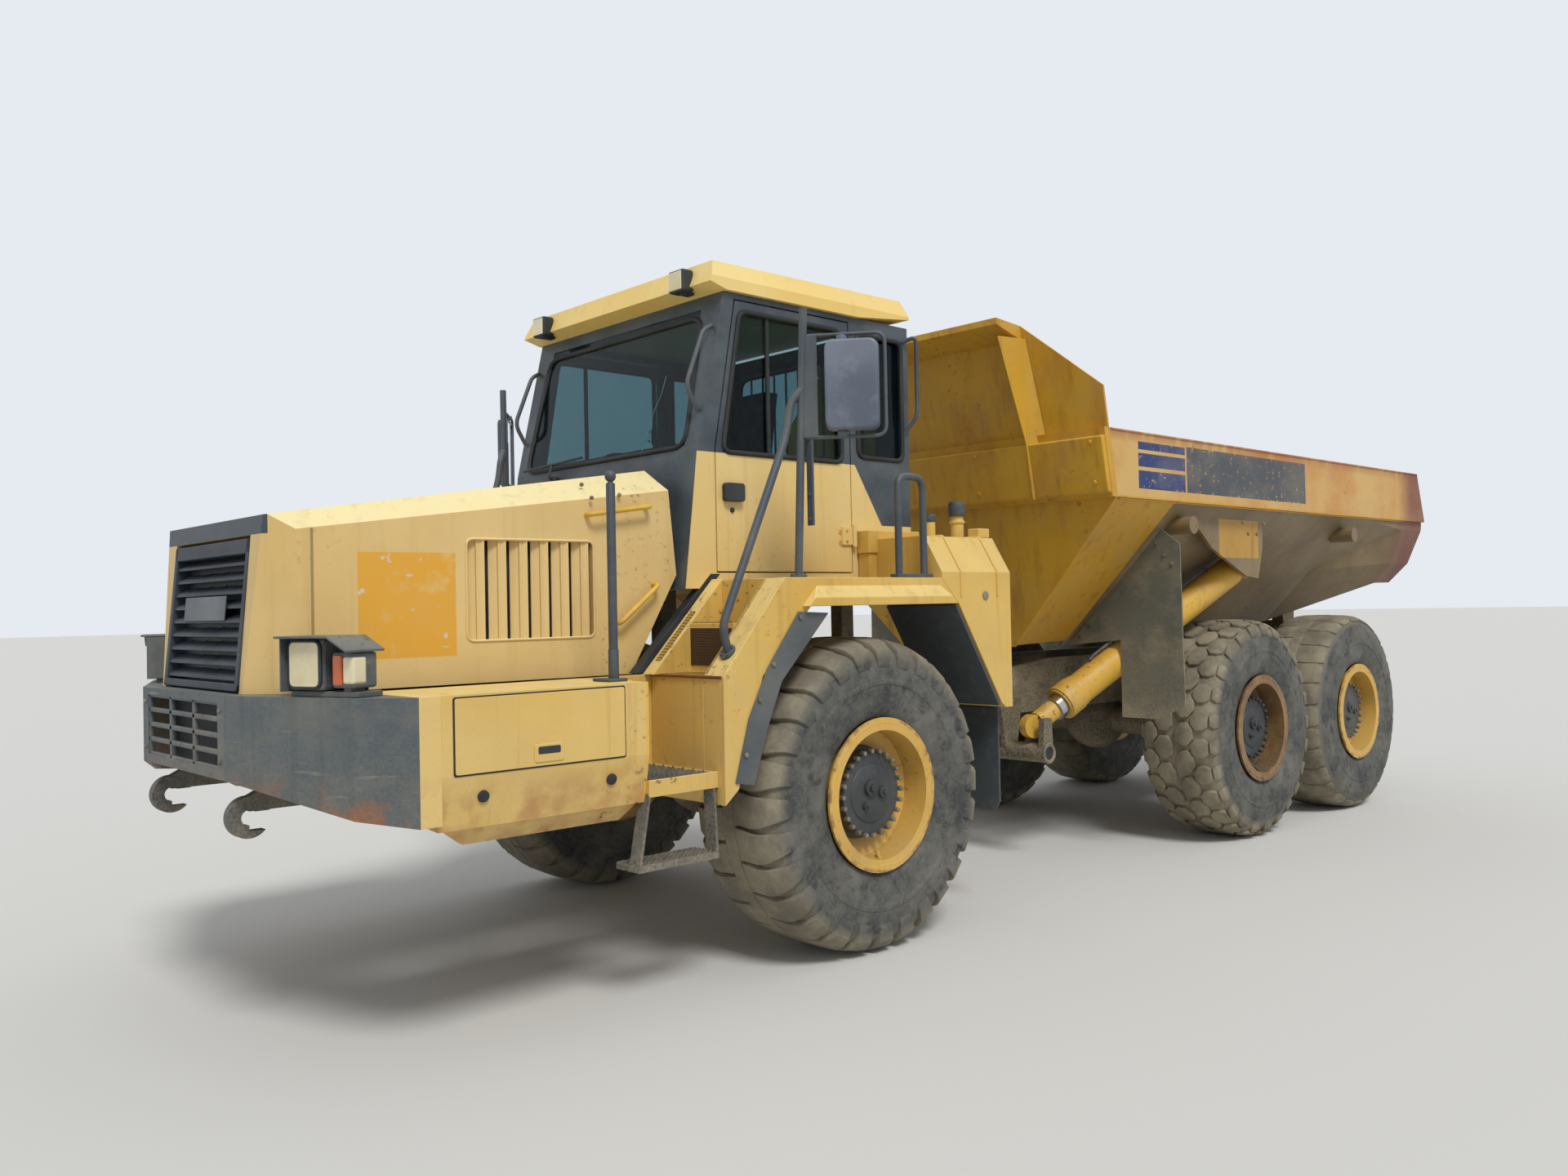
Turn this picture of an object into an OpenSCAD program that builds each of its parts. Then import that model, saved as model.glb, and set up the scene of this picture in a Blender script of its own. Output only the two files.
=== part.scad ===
// Articulated dump truck with three axles: a tractor with the cab, a hitch that
// steers and rolls, and a rear chassis that carries a tipping body.
// X points forwards, Y to the left and Z up. Sizes are measured from the front axle
// and the ground, and at_origin() then centres the whole machine on its length.

/* [Wheels] */
// Outside diameter of a tyre
tyre_d = 1600; // [1560:5:1640]
// Width of a tyre
tyre_w = 595; // [560:5:610]
// Diameter of the rim's flange
rim_d = 780; // [740:5:800]
// Distance from the machine's middle to a tyre's middle
track_half = 1142; // [1130:1:1150]
// Front axle to middle axle
mid_axle_back = 4130; // [4100:5:4180]
// Middle axle to rear axle
bogie_spacing = 1710; // [1680:5:1740]
// Diameter of the planetary hub on a wheel
hub_d = 400; // [360:5:440]

/* [Chassis] */
// Distance from the middle to a chassis rail's middle
rail_half = 400; // [380:5:410]
// Thickness of a chassis rail
rail_t = 60; // [50:2:70]
// Underside of the front chassis rails
rail_z = 1030; // [1020:2:1040]
// Height of the front chassis rails
rail_h = 300; // [290:2:320]
// Front axle to the steering pivot
pivot_back = 1450; // [1440:2:1480]
// Height of the axis on which the rear chassis rolls
roll_z = 1030; // [1020:2:1040]
// Diameter of the roll tube on the hitch
roll_tube_d = 340; // [320:5:350]
// Diameter of the steering pins
steer_pin_d = 120; // [100:2:130]
// Diameter of an axle's beam
axle_d = 220; // [200:5:240]

/* [Bumper and hood] */
// Front axle to the front of the bumper
bumper_front = 2900; // [2890:2:2920]
// Top of the bumper
bumper_top = 1450; // [1440:2:1454]
// Bumper height in the middle
bumper_h = 340; // [330:2:360]
// Plate thickness of the bumper
bumper_t = 25; // [20:1:30]
// Half of the bumper's width
bumper_half = 1380; // [1370:2:1390]
// Front axle to the foot of the hood's nose
nose_x = 2820; // [2810:2:2830]
// Height of the hood at its rear end
hood_rear_z = 2490; // [2470:5:2500]
// Half of the hood's width at its rear end
hood_half = 800; // [780:5:810]
// Sheet thickness of the hood
hood_t = 20; // [15:1:25]
// Number of upright louvres in a hood side
louvre_count = 6; // [4:1:8]
// Number of slats in the grille
slat_count = 10; // [8:1:12]

/* [Cab] */
// Half of the cab's width
cab_half = 860; // [850:2:870]
// Height of the cab floor's top
cab_floor_z = 1915; // [1905:2:1925]
// Height of the cab's wall top, under the roof
cab_wall_z = 3390; // [3380:2:3400]
// Front axle to the cab's rear wall
cab_rear = 900; // [890:2:910]
// Thickness of the cab's walls
cab_t = 55; // [50:1:60]
// Thickness of the roof at its middle
roof_h = 150; // [130:2:160]
// Thickness of the glass
glass_t = 8; // [6:1:10]
// Clearance round a door
door_gap = 8; // [6:1:10]

/* [Fenders and deck] */
// Half of the machine's width over the fenders
fender_half = 1420; // [1410:2:1430]
// Height of the deck over the front wheels
deck_z = 1900; // [1890:2:1905]
// Plate thickness of the fenders
fender_t = 20; // [15:1:25]
// Front axle to the rear face of the side tanks
tank_rear = 1100; // [1080:2:1110]

/* [Dump body] */
// Half of the body's width over its side rails
body_half = 1450; // [1440:2:1460]
// Height of the side rails' top
body_rail_top = 2840; // [2830:2:2850]
// Height of the side rails' underside
body_rail_z = 2410; // [2400:2:2420]
// Width of a side rail
body_rail_w = 110; // [100:2:120]
// Plate thickness of the body
body_t = 18; // [14:1:22]
// Height of the flat floor's underside at the front
body_floor_z = 1450; // [1440:2:1460]
// Half of the floor's width
body_floor_half = 510; // [500:2:520]
// Front axle to the rear end of the body
tail_x = 7310; // [7300:2:7340]
// Height of the headboard's top
headboard_top = 3550; // [3530:2:3570]
// Front axle to the tipping hinge
tip_back = 6600; // [6590:2:6620]
// Height of the tipping hinge
tip_z = 1500; // [1490:2:1510]
// Diameter of the tipping hinge's pins
tip_pin_d = 90; // [80:2:100]

/* [Hydraulic cylinders] */
// Diameter of a hoist cylinder's tube
hoist_d = 220; // [210:2:230]
// Diameter of a hoist cylinder's middle stage
hoist_stage_d = 180; // [170:2:190]
// Diameter of a hoist cylinder's rod
hoist_rod_d = 140; // [130:2:150]
// Diameter of a steering cylinder's tube
steer_tube_d = 100; // [90:2:106]
// Diameter of a steering cylinder's rod
steer_rod_d = 55; // [50:1:60]

/* [Mirrors and rails] */
// Diameter of the hand rails
rail_tube_d = 40; // [34:1:44]
// Distance from the machine's middle to a mirror post
post_half = 1350; // [1340:2:1360]
// How far a mirror reaches out from its post
mirror_reach = 402; // [390:2:410]

/* [Hidden] */
$fn = 48;
fit_gap = 0.3;
running_gap = 0.08;
cut = 10;
bend_swell = 3;

rest_x = (bumper_front - tail_x) / 2;
mid_x = -mid_axle_back;
rear_x = -mid_axle_back - bogie_spacing;
wheel_z = tyre_d / 2;
pivot_x = -pivot_back;
tip_x = -tip_back;
rail_top = rail_z + rail_h;
tyre_face = track_half + tyre_w / 2;

yellow = [0.86, 0.71, 0.36];
cream = [0.98, 0.92, 0.68];
body_yellow = [0.78, 0.58, 0.16];
dark = [0.23, 0.27, 0.30];
black = [0.08, 0.08, 0.09];
rubber = [0.20, 0.20, 0.19];
chrome = [0.75, 0.76, 0.78];
glass = [0.35, 0.42, 0.42, 0.5];

// Moves what is drawn from the front axle to the middle of the machine's length
module at_origin() translate([-rest_x, 0, 0]) children();

module both_sides() {
    children();
    mirror([0, 1, 0]) children();
}

// A piece drawn for the left is mirrored for the right
module on_side(side) {
    if (side > 0) children();
    else mirror([0, 1, 0]) children();
}

// A plate whose outline is given as [x, z], between two values of y
module side_plate(outline, y0, y1)
    translate([0, y1, 0]) rotate([90, 0, 0]) linear_extrude(y1 - y0) polygon(outline);

// A plate whose outline is given as [y, z], between two values of x
module cross_plate(outline, x0, x1)
    translate([x0, 0, 0]) rotate([90, 0, 90]) linear_extrude(x1 - x0) polygon(outline);

// A plate whose outline is given as [x, y], between two heights
module flat_plate(outline, z0, z1)
    translate([0, 0, z0]) linear_extrude(z1 - z0) polygon(outline);

// A box between two corners
module box(low, high) translate(low) cube(high - low);

// A round bar from p to q
module bar(p, q, d) {
    v = q - p;
    translate(p) rotate([0, acos(v[2] / norm(v)), atan2(v[1], v[0])]) cylinder(h = norm(v), d = d);
}

// A round bar along X, Y or Z
module bar_x(x0, x1, y, z, d) translate([x0, y, z]) rotate([0, 90, 0]) cylinder(h = x1 - x0, d = d);
module bar_y(x, y0, y1, z, d) translate([x, y1, z]) rotate([90, 0, 0]) cylinder(h = y1 - y0, d = d);
module bar_z(x, y, z0, z1, d) translate([x, y, z0]) cylinder(h = z1 - z0, d = d);

// A bent tube through a list of points, with a ball at each bend
module bent_tube(points, d) {
    for (i = [0 : len(points) - 2]) bar(points[i], points[i + 1], d);
    for (i = [1 : len(points) - 2]) translate(points[i]) sphere(d = d + bend_swell);
}

// Front chassis
frame_front = 2600;
frame_taper = -350;
frame_neck = -900;
neck_half = 200;
jaw_t = 60;
jaw_r = 150;
jaw_top = roll_z + 300;
jaw_bottom = roll_z - 300;
steer_base_x = pivot_x + 950;
steer_base_y = 360;
steer_eye_x = pivot_x - 100;
steer_eye_y = 300;
cab_post_x = -760;
steer_grip = 85;
steer_pin = 50;

module front_rail() {
    side_plate([[frame_front, rail_z + 60], [frame_front, rail_top], [frame_taper, rail_top],
        [frame_taper, rail_z], [2200, rail_z]],
        rail_half - rail_t / 2, rail_half + rail_t / 2);
    side_plate([[frame_taper, jaw_bottom], [frame_taper, jaw_top], [pivot_x + 330, jaw_top],
        [pivot_x + 330, jaw_top - jaw_t], [frame_neck + 60, jaw_top - 170], [frame_neck + 60, jaw_bottom + 170],
        [pivot_x + 330, jaw_bottom + jaw_t], [pivot_x + 330, jaw_bottom]],
        neck_half, neck_half + rail_t);
}

module jaw(z0, z1) difference() {
    union() {
        flat_plate([[frame_taper, neck_half + rail_t], [frame_taper, -neck_half - rail_t],
            [frame_neck, -neck_half - rail_t], [pivot_x, -jaw_r], [pivot_x, jaw_r],
            [frame_neck, neck_half + rail_t]], z0, z1);
        bar_z(pivot_x, 0, z0, z1, 2 * jaw_r);
    }
    bar_z(pivot_x, 0, z0 - cut, z1 + cut, steer_pin_d + 2 * running_gap);
}

module front_frame() at_origin() color(dark) {
    both_sides() front_rail();
    for (x = [2480, 1150, 500])
        box([x - 60, -rail_half, rail_z + 80], [x + 60, rail_half, rail_top - 60]);
    box([frame_taper - 30, -rail_half - rail_t / 2, jaw_bottom], [frame_taper + 60, rail_half + rail_t / 2, rail_top]);
    jaw(jaw_top - jaw_t, jaw_top);
    jaw(jaw_bottom, jaw_bottom + jaw_t);
    both_sides() {
        for (x = [600, cab_post_x])
            box([x - 50, rail_half - rail_t / 2, rail_top - 10],
                [x + 50, rail_half + 60, cab_floor_z - cab_t - fit_gap]);
        box([cab_post_x - 50, neck_half, rail_top - 100], [cab_post_x + 50, tank_in - fit_gap, rail_top]);
        box([1840, rail_half, rail_top - 120], [1960, fairing_in - fit_gap, rail_top - 10]);
        for (z = [roll_z - steer_grip, roll_z + steer_grip - 25])
            flat_plate([[steer_base_x + 60, neck_half], [steer_base_x - 45, neck_half],
                [steer_base_x - 45, steer_base_y + 30], [steer_base_x + 60, steer_base_y + 30]],
                z, z + 25);
        bar_z(steer_base_x, steer_base_y, roll_z - steer_grip, roll_z + steer_grip, steer_pin);
    }
}

module axle(x) {
    bar_y(x, -track_half + 110, track_half - 110, wheel_z, axle_d);
    translate([x, 0, wheel_z]) sphere(d = 2.2 * axle_d);
    both_sides() {
        bar_y(x, track_half - 330, track_half - 110, wheel_z, 1.5 * axle_d);
        bar_y(x, track_half - 200, track_half + 60, wheel_z, spindle_d);
    }
}
spindle_d = 180;

module front_axle() at_origin() color(dark) {
    axle(0);
    both_sides() {
        side_plate([[-40, wheel_z], [40, wheel_z], [1090, rail_z + 60], [1090, rail_z + 130],
            [900, rail_z + 130]], rail_half - rail_t / 2 - 60, rail_half - rail_t / 2 - fit_gap);
        bar_z(0, 560, wheel_z, rail_top + 120, 130);
    }
}

module engine_block() at_origin() color(black)
    box([1210 + fit_gap, -350, rail_z + 90], [2300, 350, 2050]);

// Bumper: outline in plan, and its height falls towards the ends
bumper_back = 2400;
bumper_nose_half = 530;
function bumper_plan(inset) = [
    [bumper_back - cut, bumper_half - inset], [bumper_front - 410 - inset / 2, bumper_half - inset],
    [bumper_front - 240 - inset, 1200 - inset / 2], [bumper_front - inset, bumper_nose_half],
    [bumper_front - inset, -bumper_nose_half], [bumper_front - 240 - inset, -1200 + inset / 2],
    [bumper_front - 410 - inset / 2, -bumper_half + inset], [bumper_back - cut, -bumper_half + inset]
];
bumper_bottom = bumper_top - bumper_h;
bumper_drop = 150;

module bumper() at_origin() color(dark) difference() {
    intersection() {
        flat_plate(bumper_plan(0), bumper_bottom - bumper_drop, bumper_top);
        cross_plate([[-bumper_half, bumper_bottom - bumper_drop], [-bumper_nose_half, bumper_bottom],
            [bumper_nose_half, bumper_bottom], [bumper_half, bumper_bottom - bumper_drop],
            [bumper_half, bumper_top], [-bumper_half, bumper_top]], bumper_back, bumper_front + cut);
    }
    flat_plate(bumper_plan(bumper_t), bumper_bottom - bumper_drop - cut, bumper_top - bumper_t);
    for (y = [-300, 0, 300], row = [0 : 3])
        box([bumper_front - 2 * bumper_t, y - 110, bumper_bottom + 70 + 50 * row],
            [bumper_front + cut, y + 110, bumper_bottom + 95 + 50 * row]);
    box([bumper_back - 2 * cut, -rail_half - rail_t, rail_z], [2660, rail_half + rail_t, bumper_top + cut]);
}

// Tow hook: a shank that ends in a ring open to the rear and below
hook_y = 490;
hook_t = 50;
hook_ring_x = 2800;
hook_ring_z = 950;
hook_ring_r = 85;

module tow_hooks() at_origin() color(dark) both_sides() {
    difference() {
        bar_y(hook_ring_x, hook_y - hook_t / 2, hook_y + hook_t / 2, hook_ring_z, 2 * hook_ring_r);
        bar_y(hook_ring_x, hook_y - hook_t, hook_y + hook_t, hook_ring_z, hook_ring_r * 0.75);
        box([hook_ring_x - 120, hook_y - hook_t, hook_ring_z - 55],
            [hook_ring_x, hook_y + hook_t, hook_ring_z + 22]);
    }
    side_plate([[2450, hook_ring_z + 25], [hook_ring_x, hook_ring_z + 25],
        [hook_ring_x, hook_ring_z + hook_ring_r], [2650, bumper_bottom - fit_gap],
        [2450, bumper_bottom - fit_gap]], hook_y - hook_t / 2, hook_y + hook_t / 2);
    box([2450, rail_half + rail_t / 2 + fit_gap, rail_z + 60], [2570, hook_y, bumper_bottom - fit_gap]);
}

// Hood: two sections joined, cut to the outline in side view and in plan
nose_half = 700;
nose_flat_half = 510;
nose_lean = 70;
nose_top_z = 2160;
hood_bottom = bumper_top + fit_gap;
hood_rear_x = 850;
function hood_section(half, crease_z, top_z, inset) = [
    [-half + inset, hood_bottom - cut], [-half + inset, crease_z - inset / 3],
    [-600 + inset / 3, top_z - inset], [600 - inset / 3, top_z - inset],
    [half - inset, crease_z - inset / 3], [half - inset, hood_bottom - cut]
];

module hood_form(inset) intersection() {
    hull() {
        cross_plate(hood_section(nose_half, 2080, nose_top_z, inset), nose_x + 49, nose_x + 50);
        cross_plate(hood_section(hood_half, 2370, hood_rear_z, inset), 700, 701);
    }
    side_plate([[1080, hood_bottom], [nose_x - inset, hood_bottom],
        [nose_x - nose_lean - inset, nose_top_z + 100], [hood_rear_x, hood_rear_z + 100],
        [hood_rear_x, 2370], [cowl_x + 8, 1930], [1050, 1510]], -1000, 1000);
    flat_plate([[nose_x - inset, nose_flat_half], [nose_x - 150 - inset, nose_half],
        [700, hood_half], [700, -hood_half], [nose_x - 150 - inset, -nose_half],
        [nose_x - inset, -nose_flat_half]], hood_bottom - 2 * cut, 2700);
}

vent_rear = 1290;
vent_front = 1930;
vent_bottom = 1640;
vent_top = 2085;

module hood() at_origin() color(cream) {
    difference() {
        hood_form(0);
        translate([0, 0, -cut]) hood_form(hood_t);
        box([nose_x - 200, -nose_flat_half + 40, hood_bottom - cut],
            [nose_x + cut, nose_flat_half - 40, nose_top_z - 60]);
        both_sides() box([vent_rear, nose_half - 60, vent_bottom], [vent_front, hood_half + 60, vent_top]);
    }
    both_sides() {
        for (i = [0 : louvre_count - 1])
            louvre(vent_rear + (i + 0.5) * (vent_front - vent_rear) / louvre_count);
        vent_tray();
    }
}

// Half of the hood's width at x
function hood_side(x) = hood_half + (nose_half - hood_half) * (x - 700) / (nose_x - 850);

module louvre(x) box([x - 8, hood_side(x) - 75, vent_bottom - 10], [x + 8, hood_side(x) - 6, vent_top + 10]);

// The closed tray behind the louvres: its outline in plan follows the hood's side
vent_depth = 85;
function vent_plan(edge, near, far) = [
    [vent_rear - edge, hood_side(vent_rear) - near], [vent_front + edge, hood_side(vent_front) - near],
    [vent_front + edge, hood_side(vent_front) - far], [vent_rear - edge, hood_side(vent_rear) - far]
];
module vent_tray() difference() {
    flat_plate(vent_plan(hood_t, hood_t / 2, vent_depth), vent_bottom - hood_t, vent_top + hood_t);
    flat_plate(vent_plan(0, 0, vent_depth - hood_t / 2), vent_bottom, vent_top);
}

// Grille: a frame with slats that lies on the leaning nose
module grille() at_origin() color(black) translate([nose_x, 0, bumper_top])
    rotate([0, -atan(nose_lean / (nose_top_z - hood_bottom)), 0]) {
        wide = nose_flat_half - 40 - fit_gap;
        high = nose_top_z - bumper_top - 70;
        difference() {
            box([-60, -wide, 6.3], [10, wide, high]);
            box([-70, -wide + 35, 40], [20, wide - 35, high - 60]);
        }
        for (i = [1 : slat_count])
            box([-40, -wide + 30, 40 + i * (high - 100) / (slat_count + 1) - 8],
                [0, wide - 30, 40 + i * (high - 100) / (slat_count + 1) + 8]);
        for (y = [-0.34, 0, 0.34])
            box([-45, y * wide * 2 - 9, 38], [-6, y * wide * 2 + 9, high - 58]);
    }

// Side fairings: tool boxes between the bumper and the step well
fairing_front = 2485;
fairing_rear = 1430;
fairing_bottom = 970;
fairing_in = 860;

module side_fairings() at_origin() color(yellow) both_sides() difference() {
    cross_plate([[fairing_in, fairing_bottom], [bumper_half - 40, fairing_bottom - 40],
        [bumper_half, fairing_bottom + 170], [bumper_half, bumper_top], [fairing_in, bumper_top]],
        fairing_rear, bumper_back - fit_gap);
    cross_plate([[fairing_in + fender_t, fairing_bottom + fender_t],
        [bumper_half - 60, fairing_bottom + fender_t], [bumper_half - 20, fairing_bottom + 170],
        [bumper_half - 20, bumper_top - fender_t], [fairing_in + fender_t, bumper_top - fender_t]],
        fairing_rear + fender_t, bumper_back - 20);
}

// Fender: the deck, its slope and leg in side view, and the outer skirt with the arch
knee_x = 1040;
knee_z = 1450;
deck_front = 650;
deck_rear = -500;
arch_z = 1760;
fender_in = cab_half + 6;

module fender() {
    side_plate([[knee_x, 870], [knee_x, knee_z], [deck_front, deck_z], [deck_rear, deck_z],
        [deck_rear, deck_z - fender_t], [deck_front - 9, deck_z - fender_t],
        [knee_x - fender_t, knee_z - 7], [knee_x - fender_t, 900]], fender_in, fender_half - fender_t);
    side_plate([[knee_x, 870], [knee_x, knee_z], [deck_front, deck_z], [deck_rear, deck_z],
        [deck_rear - 40, deck_z - 40], [-640, arch_z], [480, arch_z], [800, 1440], [960, 935]],
        fender_half - fender_t, fender_half);
    side_plate([[deck_rear, deck_z - fender_t], [deck_rear + 60, deck_z - fender_t],
        [deck_rear - 80, arch_z], [deck_rear - 140, arch_z]], fender_in, fender_half - fender_t);
}

module fenders() at_origin() color(yellow) both_sides() fender();

// Steps in the well between fairing and fender
step_z = 1020;
low_step_z = 650;

module steps() at_origin() color(dark) both_sides() {
    box([knee_x + fit_gap, fairing_in, step_z - 60], [fairing_rear - fit_gap, bumper_half - 10, step_z]);
    box([knee_x + fit_gap, fairing_in, step_z], [fairing_rear - fit_gap, fairing_in + 30, knee_z]);
    box([knee_x + 20, 1080, low_step_z - 30], [fairing_rear - 20, bumper_half - 10, low_step_z]);
    for (x = [knee_x + 20, fairing_rear - 40])
        box([x, bumper_half - 70, low_step_z - 30], [x + 20, bumper_half - 10, step_z - 30]);
}

// Side tanks behind the front wheels
tank_front = 480;
tank_top = 2130;
tank_shoulder = 1930;
tank_bottom = 1170;
tank_in = 900;
tank_gap = 0.5;

module side_tanks() at_origin() color(yellow) both_sides() intersection() {
    cross_plate([[tank_in, tank_bottom], [fender_half, tank_bottom], [fender_half, tank_shoulder],
        [fender_half - 120, tank_top], [tank_in, tank_top]], -tank_rear, -tank_front);
    side_plate([[-tank_rear, tank_bottom], [-tank_rear, tank_top], [deck_rear - tank_gap, tank_top],
        [deck_rear - tank_gap, deck_z - tank_gap], [deck_rear - 40 - tank_gap, deck_z - 40 - tank_gap],
        [deck_rear - 140 - tank_gap, arch_z - tank_gap], [-1000, tank_bottom + 30],
        [-1040, tank_bottom]], tank_in - cut, fender_half + cut);
}

// Rubber flaps ahead of and behind the front tyre
module rubber_flaps() at_origin() color(rubber) both_sides() {
    side_plate([[550, arch_z - 10], [970, 960], [870, 940], [700, 1400], [350, arch_z - 10]],
        fender_half + fit_gap, fender_half + 8);
    box([-tank_rear + 10, 950, 560], [-tank_rear + 22, fender_half, tank_bottom - fit_gap]);
}

// Cab: the outline in side view is shared by walls, doors and glass
cowl_x = 800;
sill_x = 710;
brow_x = 520;
glass_line = 2570;
brow_reach = 110;
brow_rise = 30;
door_front = 600;
door_rear = -400;
door_top = 3360;
sill_h = 25;
function cab_outline(inset) = [
    [cowl_x - inset, cab_floor_z - cab_t + inset], [sill_x - inset, glass_line],
    [brow_x - inset, cab_wall_z - inset], [-cab_rear + inset, cab_wall_z - inset],
    [-cab_rear + inset, cab_floor_z - cab_t + inset]
];
function door_outline(gap) = [
    [door_front - gap, cab_floor_z + sill_h + gap], [door_front - gap, glass_line],
    [door_front - 150 - gap, door_top - gap], [door_rear + gap, door_top - gap],
    [door_rear + gap, cab_floor_z + sill_h + gap]
];
// Windows in side view, as [x, z] corners: the door's pane and the quarter pane behind it
door_pane = [[545, 2560], [415, 3300], [-330, 3300], [-330, 2560]];
quarter_pane = [[-460, 2600], [-460, 3300], [-840, 3300], [-840, 2600]];

module cab_shell() at_origin() color(cream) difference() {
    side_plate(cab_outline(0), -cab_half, cab_half);
    side_plate(cab_outline(cab_t), -cab_half + cab_t, cab_half - cab_t);
    side_plate([[brow_x - 3 * cab_t, cab_wall_z - 2 * cab_t], [brow_x - 3 * cab_t, cab_wall_z + cut],
        [-cab_rear + 2 * cab_t, cab_wall_z + cut], [-cab_rear + 2 * cab_t, cab_wall_z - 2 * cab_t]],
        -cab_half + 2 * cab_t, cab_half - 2 * cab_t);
    side_plate(door_outline(0), -cab_half - cut, cab_half + cut);
    side_plate(quarter_pane, -cab_half - cut, cab_half + cut);
    cross_plate([[-750, glass_line + 20], [750, glass_line + 20], [700, cab_wall_z - 70],
        [-700, cab_wall_z - 70]], brow_x - 150, cowl_x + cut);
    cross_plate([[-640, 2500], [640, 2500], [640, 3300], [-640, 3300]], -cab_rear - cut, -cab_rear + 2 * cab_t);
}

module cab_roof() at_origin() color(cream) difference() {
    side_plate([[brow_x + brow_reach, cab_wall_z + brow_rise], [brow_x + 60, cab_wall_z + roof_h],
        [-cab_rear + 40, cab_wall_z + roof_h + 10], [-cab_rear + 10, cab_wall_z + 45],
        [-460, cab_wall_z + fit_gap], [brow_x, cab_wall_z + fit_gap]], -cab_half - 30, cab_half + 30);
    both_sides() cross_plate([[cab_half - 40, cab_wall_z + roof_h + 60], [cab_half + 40, cab_wall_z + 40],
        [cab_half + 80, cab_wall_z + roof_h + 60]], -cab_rear - cut, brow_x + 200);
}

module cab_glass() at_origin() color(glass) {
    lean = [brow_x - sill_x, cab_wall_z - glass_line];
    intersection() {
        side_plate([[sill_x - 12, glass_line + 20], [sill_x - 12 + glass_t, glass_line + 20],
            [brow_x - 12 + glass_t, cab_wall_z], [brow_x - 12, cab_wall_z]], -760, 760);
        cross_plate([[-750 + fit_gap, glass_line + 20 + fit_gap], [750 - fit_gap, glass_line + 20 + fit_gap],
            [700 - fit_gap, cab_wall_z - 70 - fit_gap], [-700 + fit_gap, cab_wall_z - 70 - fit_gap]],
            brow_x - 150, cowl_x);
    }
    both_sides() side_plate([for (p = quarter_pane) [p[0] + (p[0] > -600 ? -fit_gap : fit_gap),
        p[1] + (p[1] > 3000 ? -fit_gap : fit_gap)]], cab_half - 20 - glass_t, cab_half - 20);
    cross_plate([[-640 + fit_gap, 2500 + fit_gap], [640 - fit_gap, 2500 + fit_gap],
        [640 - fit_gap, 3300 - fit_gap], [-640 + fit_gap, 3300 - fit_gap]], -cab_rear + 10, -cab_rear + 10 + glass_t);
}

module cab_seat() at_origin() color(black) {
    box([-330, -240, cab_floor_z + 380], [170, 240, cab_floor_z + 500]);
    side_plate([[-330, cab_floor_z + 500 + fit_gap], [-230, cab_floor_z + 500 + fit_gap], [-330, cab_floor_z + 1130],
        [-430, cab_floor_z + 1130]], -230, 230);
    box([-250, -150, cab_floor_z + fit_gap], [90, 150, cab_floor_z + 380 - fit_gap]);
}

module cab_controls() at_origin() color(black) {
    side_plate([[cowl_x - cab_t - 20, cab_floor_z + fit_gap], [sill_x - cab_t - 10, glass_line - 20],
        [sill_x - cab_t - 60, glass_line + 60], [420, glass_line - 30], [480, cab_floor_z + fit_gap]],
        -cab_half + cab_t + 20, cab_half - cab_t - 20);
    translate([430, 0, glass_line - 40]) rotate([0, -25, 0]) {
        rotate_extrude() translate([210, 0]) circle(d = 32);
        box([-205, -20, -12], [205, 20, 12]);
        translate([0, 0, -150]) cylinder(h = 150, d = 60);
    }
}

// Doors hang on their rear edge, and the handle is at the front
door_t = 45;
hinge_x = door_rear;
hinge_y = cab_half + 20;

module door(side) at_origin() color(cream) on_side(side) {
    difference() {
        side_plate(door_outline(door_gap), cab_half - door_t, cab_half);
        side_plate(door_pane, cab_half - door_t - cut, cab_half + cut);
    }
    for (z = [2150, 2900]) {
        bar_z(hinge_x, hinge_y, z - 60, z + 60, 26);
        box([hinge_x, cab_half, z - 50], [hinge_x + 90, cab_half + 12, z + 50]);
    }
    box([door_front - 160, cab_half, 2330], [door_front - 60, cab_half + 30, 2375]);
}

module door_glass(side) at_origin() color(glass) on_side(side)
    intersection() {
        side_plate([for (p = door_pane) [p[0] + (p[0] > 0 ? -fit_gap : fit_gap),
            p[1] + (p[1] > 3000 ? -fit_gap : fit_gap)]], cab_half - 20 - glass_t, cab_half - 20);
    }

module door_left() door(1);
module door_right() door(-1);
module door_glass_left() door_glass(1);
module door_glass_right() door_glass(-1);

// Height of the fender's slope at x
function slope_z(x) = knee_z + (knee_x - x) * (deck_z - knee_z) / (knee_x - deck_front);

// Hand rails on the deck and the stair, and the mirrors on their posts
post_foot = [505, post_half + 12, deck_z + 1];
post_top = [482, post_half + 55, 3200];
mirror_angle = 128.4;
mirror_low = 2590;
mirror_high = 3070;

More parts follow.
